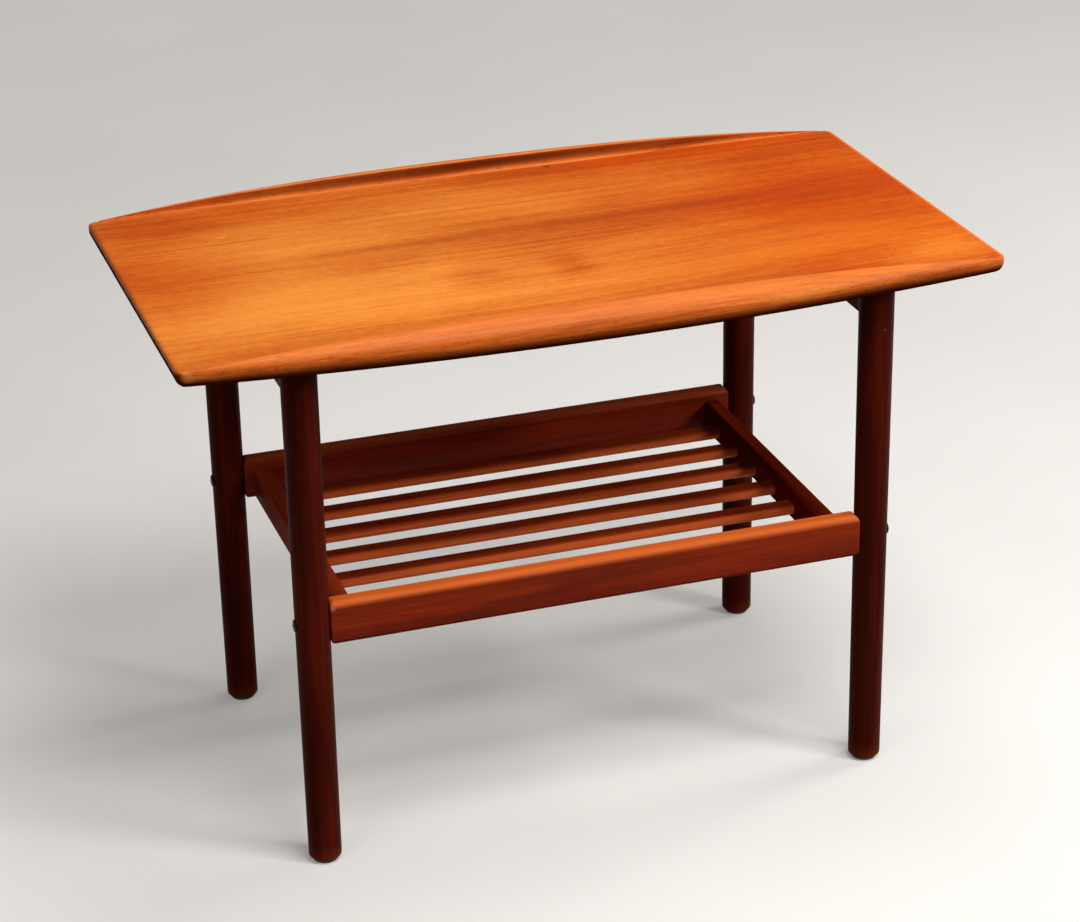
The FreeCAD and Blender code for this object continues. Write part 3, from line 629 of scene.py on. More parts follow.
def sheet_mesh(name, sizes, rings, trimmed):
    """A sheet from rings of (inset, height, wear and painted light); flat faces close its first and last ring.

    A trimmed sheet keeps its inset from the bowed edge near the lips' tips too.
    """
    points, wear = [], []
    outline = sheet_outline(sizes)
    for inset, height, worn_and_lit in rings:
        # A larger inset would fold the rounded corners over.
        inset = min(inset, CORNER_SHARE * sizes.corner_radius)
        for spot, way, share in outline:
            place = spot - way * inset * share
            if trimmed and share < 1.0:
                reach = min(abs(spot.x), sizes.lip_tip * (1 - inset / edge_radius(sizes)))
                depth = min(abs(place.y), edge_half_width(sizes, reach) - inset)
                place = Vector((math.copysign(reach, spot.x), math.copysign(depth, spot.y)))
            points.append((place.x, place.y, height))
            wear.append(worn_and_lit * end_crest(way, "right" if spot.x > 0 else "left") * (share == 1.0))
    return closed_mesh(name, points, skin(len(rings), len(outline)), wear, CRISP_ANGLE)


class MAGAZINE_TABLE_OT_top_panel(bpy.types.Operator):
    """Lay the face veneer and the backing veneer, and fit the solid lippings at both ends"""
    bl_idname = "magazine_table.top_panel"
    bl_label = "Top panel"

    def execute(self, context):
        sizes = context.scene.magazine_table_sizes
        colours = context.scene.magazine_table_colours
        top, veneer_back = VENEER_HIGH.z, VENEER_LOW.z
        bottom, backing_back = BACKING_LOW.z, BACKING_HIGH.z
        arris, under = sizes.arris_radius, sizes.underside_radius

        def arris_inset(z):
            return round_inset(arris, z - (top - arris))

        def under_inset(z):
            return round_inset(under, bottom + under - z)

        flat_margin = 3 * MM
        rings = [(flat_margin + arris, veneer_back, 0.0), (arris_inset(veneer_back), veneer_back, 0.5)]
        for step in range(1, ROUND_STEPS + 1):
            turn = math.asin((veneer_back - top + arris) / arris)
            turn += (math.pi / 2 - turn) * step / ROUND_STEPS
            z = top - arris + arris * math.sin(turn)
            rings.append((arris_inset(z), z, 1.0))
        rings.append((arris + flat_margin, top, 0.0))
        mesh = sheet_mesh("top_veneer_face", sizes, rings, False)
        finish_piece("top_veneer_face", mesh, finish_named("teak face veneer", colours),
                     ["top_veneer"])

        rings = [(flat_margin + under, backing_back, 0.0), (under_inset(backing_back), backing_back, 0.0)]
        for step in range(1, ROUND_STEPS + 1):
            z = backing_back + (bottom - backing_back) * step / ROUND_STEPS
            rings.append((under_inset(z), z, 0.0))
        rings.append((under + flat_margin, bottom, 0.0))
        mesh = sheet_mesh("backing_veneer_sheet", sizes, rings, True)
        finish_piece("backing_veneer_sheet", mesh, finish_named("teak backing veneer", colours),
                     ["backing_veneer"])

        heights = [veneer_back]
        heights += [veneer_back - (veneer_back - top + arris) * step / 4 for step in range(1, 5)]
        heights += [bottom + under - under * math.sin(math.radians(angle)) for angle in range(0, 64, 7)]
        heights = [z for z in heights if z > backing_back + 0.1 * MM] + [backing_back]
        for side, sign in SIDES.items():
            low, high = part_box(f"{side}_end_lipping")
            inner = low.x if sign > 0 else high.x
            points, wear = [], []
            joint, start = sizes.joint_line, abs(inner)
            along = lip_path(sizes, start)
            path = along + end_path(sizes) + mirrored(along)
            for spot, way in path:
                row, worn_and_lit = [], []
                for z in heights:
                    place = spot - way * max(arris_inset(z), under_inset(z))
                    if spot.x < sizes.lip_tip - 0.01 * MM:
                        place = Vector((max(start, place.x), max(-joint, min(joint, place.y))))
                    row.append((sign * place.x, sign * place.y, z))
                    # Painted shade: the end's edge is painted darker down towards its lower edge.
                    worn_and_lit.append(edge_wear_and_light((top - z) / (top - bottom), end_crest(way, side)))
                first, final = (max(-joint, min(joint, row[end][1])) for end in (0, -1))
                points += [(inner, first, veneer_back), *row, (inner, final, backing_back)]
                wear += [0.0, *worn_and_lit, -1.0]
            faces = skin(len(path), len(heights) + 2)
            mesh = closed_mesh(f"{side}_end_edge", points, faces, wear, CRISP_ANGLE)
            finish_piece(f"{side}_end_edge", mesh, finish_named("solid teak lips", colours),
                         [f"{side}_end_lipping"])
        return {"FINISHED"}


def bezier(poles, share):
    """A point on the curve of the given poles."""
    while len(poles) > 1:
        poles = [first.lerp(second, share) for first, second in zip(poles, poles[1:])]
    return poles[0]


def lip_section(sizes, x):
    """The lip's closed profile at one place: cove, crest, roll, outer wall, rounded underside, joint."""
    reach = abs(x) / sizes.lip_tip
    height = LIP_TIP_HEIGHT + sizes.lip_height * (1 - reach ** LIP_SWELL_POWER)
    cove = LIP_COVE_TIP + sizes.lip_cove * (1 - reach ** 2)
    edge = edge_half_width(sizes, x)
    top, bottom = VENEER_HIGH.z, BACKING_LOW.z
    joint, under = sizes.joint_line, sizes.underside_radius

    def poles_of(shares):
        return [Vector((joint + cove * across, top + height * up)) for across, up in shares]

    cove_poles, crest_poles = poles_of(COVE_SHARES), poles_of(CREST_SHARES)
    crest = crest_poles[-1]
    roll_end = Vector((edge, top - LIP_ROLL_DROP))
    roll_poles = [crest, Vector((crest.x + (edge - crest.x) * ROLL_PULL_SHARE, crest.y)),
                  Vector((edge, roll_end.y + (crest.y - roll_end.y) * ROLL_PULL_SHARE)), roll_end]
    # Painted light on the lip: the crest is painted pale as a highlight, partly rubbed, and the roll and
    # underside darker towards the lower edge as painted shade.
    swell, fall = 1 - reach ** 2, 2.0 + 0.4 * reach ** 2
    rubbed_and_lit = 0.75 - (0.75 - LIP_TIP_CREST) * reach ** 3
    profile = [(bezier(cove_poles, step / len(LIP_COVE_WEAR_AND_LIGHT)), swell * worn_and_lit)
               for step, worn_and_lit in enumerate(LIP_COVE_WEAR_AND_LIGHT)]
    profile += [(bezier(crest_poles, step / len(LIP_CREST_WEAR_AND_LIGHT)), worn_and_lit * (swell if step < 3 else 1.0))
                for step, worn_and_lit in enumerate(LIP_CREST_WEAR_AND_LIGHT)]
    for step in range(ROLL_STEPS + 1):
        spot = bezier(roll_poles, step / ROLL_STEPS)
        profile.append((spot, edge_wear_and_light((crest.y - spot.y) / (crest.y - bottom), rubbed_and_lit, fall)))
    width = edge - joint
    start = math.acos(min(1.0, max(0.0, (under - width) / under)))
    for step in range(ROUND_STEPS + 1):
        turn = -start * step / ROUND_STEPS
        spot = Vector((edge - under + under * math.cos(turn), bottom + under + under * math.sin(turn)))
        profile.append((spot, edge_wear_and_light((crest.y - spot.y) / (crest.y - bottom), 0.5, fall)))
    profile.append((Vector((joint, profile[-1][0].y)), -1.0))
    return profile


class MAGAZINE_TABLE_OT_lips(bpy.types.Operator):
    """Shape the raised lips along the two long edges of the top"""
    bl_idname = "magazine_table.lips"
    bl_label = "Raised lips"

    def execute(self, context):
        sizes = context.scene.magazine_table_sizes
        colours = context.scene.magazine_table_colours
        for depth, sign in DEPTHS.items():
            points, wear = [], []
            for station in range(LIP_STATIONS + 1):
                x = -sizes.lip_tip * math.cos(math.pi * station / LIP_STATIONS)
                section = lip_section(sizes, x)
                points += [(x, sign * spot.x, spot.y) for spot, worn_and_lit in section]
                wear += [worn_and_lit for spot, worn_and_lit in section]
            faces = skin(LIP_STATIONS + 1, len(section))
            mesh = closed_mesh(f"{depth}_raised_lip", points, faces, wear, BAR_CRISP_ANGLE)
            finish_piece(f"{depth}_raised_lip", mesh, finish_named("solid teak lips", colours),
                         [f"{depth}_lip"])
        return {"FINISHED"}


def circle(radius, z, segments, centre=(0.0, 0.0)):
    """Points evenly round an upright axis at one height."""
    turns = [2 * math.pi * segment / segments for segment in range(segments)]
    return [(centre[0] + radius * math.cos(turn), centre[1] + radius * math.sin(turn), z) for turn in turns]


def leg_radius(sizes, z):
    """The leg's radius at a height, from the foot's to the top's."""
    share = (z - LEG_LOW.z) / (LEG_HIGH.z - LEG_LOW.z)
    return sizes.leg_foot_radius + (sizes.leg_top_radius - sizes.leg_foot_radius) * share


class MAGAZINE_TABLE_OT_legs(bpy.types.Operator):
    """Turn the four tapered legs with their rounded feet"""
    bl_idname = "magazine_table.legs"
    bl_label = "Legs"

    def execute(self, context):
        sizes = context.scene.magazine_table_sizes
        colours = context.scene.magazine_table_colours
        rounding = sizes.leg_foot_rounding
        profile = []
        for step in range(ROUND_STEPS + 1):
            turn = math.pi / 2 * step / ROUND_STEPS
            z = LEG_LOW.z + rounding * (1 - math.cos(turn))
            profile.append((leg_radius(sizes, z) - rounding * (1 - math.sin(turn)), z, 0.3))
        for step in range(1, LEG_STEPS + 1):
            z = LEG_LOW.z + rounding + (LEG_HIGH.z - LEG_LOW.z - rounding) * step / LEG_STEPS
            profile.append((leg_radius(sizes, z), z, 0.0))
        for depth in DEPTHS:
            for side in SIDES:
                low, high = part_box(f"{depth}_{side}_leg")
                centre = (low + high) / 2
                points, wear = [], []
                for radius, z, worn_and_lit in profile:
                    points += circle(radius, z, LEG_SEGMENTS, centre)
                    wear += [worn_and_lit] * LEG_SEGMENTS
                name = f"{depth}_{side}_turned_leg"
                mesh = closed_mesh(name, points, skin(len(profile), LEG_SEGMENTS), wear, LEG_CRISP_ANGLE)
                finish_piece(name, mesh, finish_named("turned teak legs", colours),
                             [f"{depth}_{side}_leg"])
        return {"FINISHED"}


def bar_mesh(name, half, low, high, low_round, high_round, reach_at, end_round, wear_and_light_values, place):
    """A bar with rounded edges; its ends follow reach_at(across, height) and their edges are eased."""
    top_wear_and_light, face_wear_and_shade = wear_and_light_values
    flats = ((half - low_round) / 3, (half - high_round) / 3)
    right = [(flats[0] * step, low, face_wear_and_shade) for step in range(3)]
    # Painted shade: the lower rounding is darker towards the bottom.
    for step in range(ROUND_STEPS + 1):
        turn = math.pi / 2 * (step / ROUND_STEPS - 1)
        right.append((half - low_round + low_round * math.cos(turn), low + low_round * (1 + math.sin(turn)),
                      face_wear_and_shade - 0.5 * math.cos(turn / 2) * (step < ROUND_STEPS)))
    # Painted highlight: the upper rounding and the top are paler, partly as rubbing.
    for step in range(ROUND_STEPS + 1):
        turn = math.pi / 2 * step / ROUND_STEPS
        right.append((half - high_round + high_round * math.cos(turn),
                      high - high_round * (1 - math.sin(turn)),
                      face_wear_and_shade + 0.05 * top_wear_and_light + (0.95 * top_wear_and_light - face_wear_and_shade) * math.sin(turn)))
    right += [(flats[1] * step, high, 0.8 * top_wear_and_light) for step in (2, 1, 0)]
    last = len(right) - 1
    loop = right + [(-across, z, worn_and_lit) for across, z, worn_and_lit in reversed(right[1:-1])]
    middle = (low + high) / 2
    stations = []
    for step in range(EASE_STEPS + 1):
        turn = math.pi / 2 * step / EASE_STEPS
        stations.append((1.0, end_round * (1 - math.sin(turn)), end_round * (1 - math.cos(turn))))
    stations += [(1 - step / BAR_STEPS, 0.0, end_round) for step in range(1, 2 * BAR_STEPS)]
    stations += [(-1.0, inset, back) for share, inset, back in reversed(stations[:EASE_STEPS + 1])]
    points, faces, wear = [], [], []

    def put(along, across, z, worn_and_lit):
        points.append(place(along, across, z))
        wear.append(worn_and_lit)
        return len(points) - 1

    rings = []
    for share, inset, back in stations:
        ring = []
        for across, z, worn_and_lit in loop:
            across *= 1 - inset / half
            z = middle + (z - middle) * (1 - inset / (middle - low))
            along = share * (reach_at(across, z) - back)
            ring.append(put(along, across, z, worn_and_lit * (inset < 0.3 * end_round)))
        rings.append(ring)
    for first, second in zip(rings, rings[1:]):
        for number in range(len(loop)):
            after = (number + 1) % len(loop)
            faces.append((first[number], first[after], second[after], second[number]))
    columns = 6
    for ring, sign in ((rings[0], 1), (rings[-1], -1)):
        shrink, drop = 1 - end_round / half, 1 - end_round / (middle - low)
        rows = [[ring[number] for number in (3, 2, 1, 0, -1, -2, -3)]]
        for number in range(4, last - 3):
            across, z, worn_and_lit = right[number]
            across, z = across * shrink, middle + (z - middle) * drop
            row = [ring[number]]
            for column in range(1, columns):
                spot = across * (1 - 2 * column / columns)
                row.append(put(sign * reach_at(spot, z), spot, z, 0.0))
            rows.append(row + [ring[-number]])
        rows.append(ring[last - 3:last + 4])
        for first, second in zip(rows, rows[1:]):
            for column in range(columns):
                faces.append((first[column], first[column + 1], second[column + 1], second[column]))
    return closed_mesh(name, points, faces, wear, BAR_CRISP_ANGLE)


class MAGAZINE_TABLE_OT_rails(bpy.types.Operator):
    """Make the bearers under the top, and the long rails and end rails of the rack"""
    bl_idname = "magazine_table.rails"
    bl_label = "Bearers and rails"

    def execute(self, context):
        sizes = context.scene.magazine_table_sizes
        colours = context.scene.magazine_table_colours
        leg_x = -(LEG_LOW.x + LEG_HIGH.x) / 2
        leg_y = -(LEG_LOW.y + LEG_HIGH.y) / 2

        def up_to(leg_centre):
            return lambda across, z: leg_centre - math.sqrt(leg_radius(sizes, z) ** 2 - across ** 2)

        def fit(name, solid, finish, lengthwise, low_round, high_round, reach_at, end_round, wear_and_light_values):
            low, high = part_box(solid)
            axis = 1 if lengthwise else 0
            middle = (low[axis] + high[axis]) / 2

            def place(along, across, z):
                return (along, middle + across, z) if lengthwise else (middle + across, along, z)

            mesh = bar_mesh(name, (high[axis] - low[axis]) / 2, low.z, high.z, low_round, high_round,
                            reach_at, end_round, wear_and_light_values, place)
            finish_piece(name, mesh, finish_named(finish, colours), [solid])

        # The front rail's top is painted bright as a highlight, partly rubbed; the back rail's top only a
        # little, as it lies in shade.
        for depth, top_wear_and_light in (("front", 1.0), ("back", 0.2)):
            fit(f"{depth}_rack_rail", f"{depth}_rail", "solid teak rails", True, 4 * MM,
                sizes.rail_top_rounding, up_to(leg_x), sizes.rail_end_rounding, (top_wear_and_light, 0.0))
        # The right end rail is painted darker on its top and inner face, as shade.
        for side, end_wear_and_shade in (("left", (0.1, 0.0)), ("right", (-0.8, -0.7))):
            fit(f"{side}_rack_end_rail", f"{side}_end_rail", "solid teak cross rails", False, 1.5 * MM,
                4 * MM, lambda across, z: RAIL_FACE, 0.4 * MM, end_wear_and_shade)
            fit(f"{side}_top_bearer", f"{side}_bearer", "solid teak bearers", False, 2.5 * MM, 0.6 * MM,
                up_to(leg_y), 0.8 * MM, (0.0, 0.0))
        return {"FINISHED"}


def node_tree(name, sizes):
    """An empty geometry tree with named size inputs, a material input and a geometry output."""
    tree = bpy.data.node_groups.new(name, "GeometryNodeTree")
    sockets = {}
    for label, kind, value in sizes:
        socket = tree.interface.new_socket(label, in_out="INPUT", socket_type=kind)
        if value is not None:
            socket.default_value = value
        sockets[label] = socket.identifier
    tree.interface.new_socket("Geometry", in_out="OUTPUT", socket_type="NodeSocketGeometry")
    start = tree.nodes.new("NodeGroupInput")
    return tree, start.outputs, sockets


def baked_tree(name, tree, sockets, values):
    """Run a geometry tree on an empty holder with the given inputs; gives the result as a plain mesh."""
    holder = bpy.data.objects.new(name + "_holder", bpy.data.meshes.new(name + "_holder"))
    bpy.context.scene.collection.objects.link(holder)
    modifier = holder.modifiers.new("Nodes", "NODES")
    modifier.node_group = tree
    for label, value in values.items():
        modifier[sockets[label]] = value
    graph = bpy.context.evaluated_depsgraph_get()
    mesh = bpy.data.meshes.new_from_object(holder.evaluated_get(graph))
    holder.modifiers.remove(modifier)
    bpy.data.objects.remove(holder)
    return mesh


class MAGAZINE_TABLE_OT_slats(bpy.types.Operator):
    """Lay the row of rounded slats across the rack"""
    bl_idname = "magazine_table.slats"
    bl_label = "Rack slats"

    def execute(self, context):
        sizes = context.scene.magazine_table_sizes
        colours = context.scene.magazine_table_colours
        first, last = SLAT_BOXES[-1], SLAT_BOXES[0]
        count = len(SLAT_BOXES)
        pitch = (last[0].y - first[0].y) / (count - 1)
        material = finish_named("solid teak slats", colours)
        tree, given, sockets = node_tree("rack slats", [
            ("Count", WHOLE, count), ("Pitch", LENGTH, pitch), ("Length", LENGTH, 0.45),
            ("Width", LENGTH, 0.02), ("Thickness", LENGTH, 0.01), ("Rounding", LENGTH, 0.0048),
            ("First place", "NodeSocketVector", None), ("Material", "NodeSocketMaterial", None)])
        half = node(tree, "ShaderNodeMath", {0: given["Length"], 1: 0.5}, operation="MULTIPLY")
        other = node(tree, "ShaderNodeMath", {0: given["Length"], 1: -0.5}, operation="MULTIPLY")
        start = node(tree, "ShaderNodeCombineXYZ", {"X": other.outputs[0]})
        end = node(tree, "ShaderNodeCombineXYZ", {"X": half.outputs[0]})
        line = node(tree, "GeometryNodeCurvePrimitiveLine", {
            "Start": start.outputs[0], "End": end.outputs[0]})
        spaced = node(tree, "GeometryNodeResampleCurve", {"Curve": line.outputs["Curve"], "Count": 24})
        upright = node(tree, "GeometryNodeSetCurveNormal", {"Curve": spaced.outputs["Curve"]}, mode="Z_UP")
        board = node(tree, "GeometryNodeCurvePrimitiveQuadrilateral", {
            "Width": given["Width"], "Height": given["Thickness"]})
        rounded = node(tree, "GeometryNodeFilletCurve", {
            "Curve": board.outputs["Curve"], "Radius": given["Rounding"], "Count": 7}, mode="POLY")
        slat = node(tree, "GeometryNodeCurveToMesh", {
            "Curve": upright.outputs["Curve"], "Profile Curve": rounded.outputs["Curve"], "Fill Caps": True})
        # Painted light: each slat's front and back sides are painted pale as a highlight, and its top dark as
        # shade.
        facing = node(tree, "GeometryNodeInputNormal")
        facing = node(tree, "ShaderNodeSeparateXYZ", {"Vector": facing.outputs["Normal"]})
        sideways = node(tree, "ShaderNodeMath", {0: facing.outputs["Y"]}, operation="ABSOLUTE")
        rubbed_and_lit = node(tree, "ShaderNodeMath", {0: sideways.outputs[0], 1: 0.9}, operation="MULTIPLY")
        upward = node(tree, "ShaderNodeMath", {0: facing.outputs["Z"], 1: 0.0}, operation="MAXIMUM")
        worn_and_lit = node(tree, "ShaderNodeMath", {0: upward.outputs[0], 1: -0.95, 2: rubbed_and_lit.outputs[0]},
                    operation="MULTIPLY_ADD")
        lit_and_shaded_slat = node(tree, "GeometryNodeStoreNamedAttribute", {
            "Geometry": slat.outputs["Mesh"], "Name": WEAR_AND_LIGHT, "Value": worn_and_lit.outputs[0]},
            data_type="FLOAT", domain="POINT")
        step = node(tree, "ShaderNodeCombineXYZ", {"Y": given["Pitch"]})
        row = node(tree, "GeometryNodeMeshLine", {
            "Count": given["Count"], "Start Location": given["First place"], "Offset": step.outputs[0]})
        laid = node(tree, "GeometryNodeInstanceOnPoints", {
            "Points": row.outputs["Mesh"], "Instance": lit_and_shaded_slat.outputs["Geometry"]})
        real = node(tree, "GeometryNodeRealizeInstances", {"Geometry": laid.outputs["Instances"]})
        dressed = node(tree, "GeometryNodeSetMaterial", {
            "Geometry": real.outputs["Geometry"], "Material": given["Material"]})
        node(tree, "NodeGroupOutput", {"Geometry": dressed.outputs["Geometry"]})
        shoulder = END_RAIL_LOW.x
        place = (0.0, (first[0].y + first[1].y) / 2, (first[0].z + first[1].z) / 2)
        mesh = baked_tree("slats", tree, sockets, {
            "Count": count, "Pitch": pitch, "Length": 2 * shoulder, "Width": first[1].y - first[0].y,
            "Thickness": first[1].z - first[0].z, "Rounding": sizes.slat_rounding, "First place": place,
            "Material": material})
        mesh.shade_smooth()
        mesh.set_sharp_from_angle(angle=math.radians(BAR_CRISP_ANGLE))
        finish_piece("rack_slats", mesh, material,
                     [f"slat_{number}" for number in range(1, count + 1)])
        return {"FINISHED"}


def turned_mesh(name, profile, segments, socket_flats=0.0, socket_depth=0.0):
    """A turned shape about the z axis from (radius, height) pairs, with a six-sided socket in its top."""
    points = []
    for radius, z in profile:
        points += circle(radius, z, segments)
    rings = len(profile)
    if socket_flats:
        for z in (profile[-1][1], profile[-1][1] - socket_depth):
            for segment in range(segments):
                angle = 2 * math.pi * segment / segments
                spread = math.cos((angle + math.pi / 6) % (math.pi / 3) - math.pi / 6)
                radius = socket_flats / 2 / spread
                points.append((radius * math.cos(angle), radius * math.sin(angle), z))
        rings += 2
    return closed_mesh(name, points, skin(rings, segments), [0.0] * len(points), CRISP_ANGLE)


def four_corners_tree(name):
    """A tree that puts one shape at the four corners, tilted outwards on each side."""
    tree, given, sockets = node_tree(name, [
        ("Shape", "NodeSocketObject", None), ("Spread along", LENGTH, 0.5), ("Spread across", LENGTH, 0.3),
        ("Height", LENGTH, 0.2), ("Tilt", LENGTH, 0.0), ("Material", "NodeSocketMaterial", None)])
    corners = node(tree, "GeometryNodeMeshGrid", {
        "Size X": given["Spread along"], "Size Y": given["Spread across"], "Vertices X": 2, "Vertices Y": 2})
    lift = node(tree, "ShaderNodeCombineXYZ", {"Z": given["Height"]})
    raised = node(tree, "GeometryNodeSetPosition", {
        "Geometry": corners.outputs["Mesh"], "Offset": lift.outputs[0]})
    spot = node(tree, "GeometryNodeInputPosition")
    apart = node(tree, "ShaderNodeSeparateXYZ", {"Vector": spot.outputs[0]})
    side = node(tree, "ShaderNodeMath", {0: apart.outputs["X"]}, operation="SIGN")
    tilt = node(tree, "ShaderNodeMath", {0: side.outputs[0], 1: given["Tilt"]}, operation="MULTIPLY")
    turn = node(tree, "ShaderNodeCombineXYZ", {"Y": tilt.outputs[0]})
    shape = node(tree, "GeometryNodeObjectInfo", {"Object": given["Shape"]})
    laid = node(tree, "GeometryNodeInstanceOnPoints", {
        "Points": raised.outputs["Geometry"], "Instance": shape.outputs["Geometry"],
        "Rotation": turn.outputs[0]})
    real = node(tree, "GeometryNodeRealizeInstances", {"Geometry": laid.outputs["Instances"]})
    dressed = node(tree, "GeometryNodeSetMaterial", {
        "Geometry": real.outputs["Geometry"], "Material": given["Material"]})
    node(tree, "NodeGroupOutput", {"Geometry": dressed.outputs["Geometry"]})
    return tree, sockets


def at_four_corners(name, shape_mesh, along, across, height, tilt, material):
    """Four copies of one shape at the legs, as a plain mesh."""
    shape = bpy.data.objects.new(name + "_shape", shape_mesh)
    bpy.context.scene.collection.objects.link(shape)
    tree, sockets = four_corners_tree(name)
    mesh = baked_tree(name, tree, sockets, {
        "Shape": shape, "Spread along": along, "Spread across": across, "Height": height, "Tilt": tilt,
        "Material": material})
    bpy.data.objects.remove(shape)
    return mesh


class MAGAZINE_TABLE_OT_bolts(bpy.types.Operator):
    """Set the black socket-head bolts in the outer sides of the legs"""
    bl_idname = "magazine_table.bolts"
    bl_label = "Rail bolts"

    def execute(self, context):
        sizes = context.scene.magazine_table_sizes
        colours = context.scene.magazine_table_colours
        head, rise, rounding = sizes.bolt_head_radius, sizes.bolt_head_height, 1.8 * MM
        shank, shank_length = 3 * MM, BOLT_HIGH.x - END_RAIL_LOW.x
        profile = [(shank, rise - shank_length), (shank, 0.0), (head, 0.0)]
        for step in range(ROUND_STEPS + 1):
            turn = math.pi / 2 * step / ROUND_STEPS
            profile.append((head - rounding * (1 - math.cos(turn)), rise - rounding * (1 - math.sin(turn))))
        profile.append((sizes.bolt_socket_flats / 2 / math.cos(math.pi / 6) + 0.4 * MM, rise))
        bolt = turned_mesh("bolt", profile, 48, sizes.bolt_socket_flats, 2.2 * MM)
        material = finish_named("blackened steel", colours)
        leg_y = -(LEG_LOW.y + LEG_HIGH.y)
        height = (BOLT_LOW.z + BOLT_HIGH.z) / 2
        mesh = at_four_corners("bolts", bolt, 2 * (BOLT_HIGH.x - rise), leg_y, height, math.pi / 2, material)
        mesh.set_sharp_from_angle(angle=math.radians(CRISP_ANGLE))
        finish_piece("socket_head_bolts", mesh, material, ["rail_bolts"])
        return {"FINISHED"}


class MAGAZINE_TABLE_OT_glides(bpy.types.Operator):
    """Fit the dark glides under the feet"""
    bl_idname = "magazine_table.glides"
    bl_label = "Glides"

    def execute(self, context):
        sizes = context.scene.magazine_table_sizes
        colours = context.scene.magazine_table_colours
        radius = (GLIDE_HIGH.x - GLIDE_LOW.x) / 2
        height, rounding = GLIDE_HIGH.z - GLIDE_LOW.z, sizes.glide_rounding
        profile = []
        for step in range(ROUND_STEPS + 1):
            turn = math.pi / 2 * step / ROUND_STEPS
            profile.append((radius - rounding * (1 - math.sin(turn)), rounding * (1 - math.cos(turn))))
        profile.append((radius, height))
        glide = turned_mesh("glide", profile, 48)
        material = finish_named("dark plastic", colours)
        mesh = at_four_corners("glides", glide, -(GLIDE_LOW.x + GLIDE_HIGH.x), -(GLIDE_LOW.y + GLIDE_HIGH.y),
                               GLIDE_LOW.z, 0.0, material)
        mesh.set_sharp_from_angle(angle=math.radians(CRISP_ANGLE))
        nodes = [f"{depth}_{side}_glide" for depth in DEPTHS for side in SIDES]
        finish_piece("foot_glides", mesh, material, nodes)
        return {"FINISHED"}


class MAGAZINE_TABLE_OT_joinery(bpy.types.Operator):
    """Give the core and the hidden joinery their own finishes"""
    bl_idname = "magazine_table.joinery"
    bl_label = "Hidden joinery"

    def execute(self, context):
        colours = context.scene.magazine_table_colours
        finishes = {"raw chipboard": ("top_core",),
                    "raw beech": ("front_lip_tongue", "back_lip_tongue", "bearer_dowels", "rail_dowels"),
                    "zinc plated steel": ("barrel_nuts", "top_screws", "glide_nails")}
        for finish, names in finishes.items():
            for name in names:
                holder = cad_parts[name]
                holder.data.materials.clear()
                holder.data.materials.append(finish_named(finish, colours))
        return {"FINISHED"}


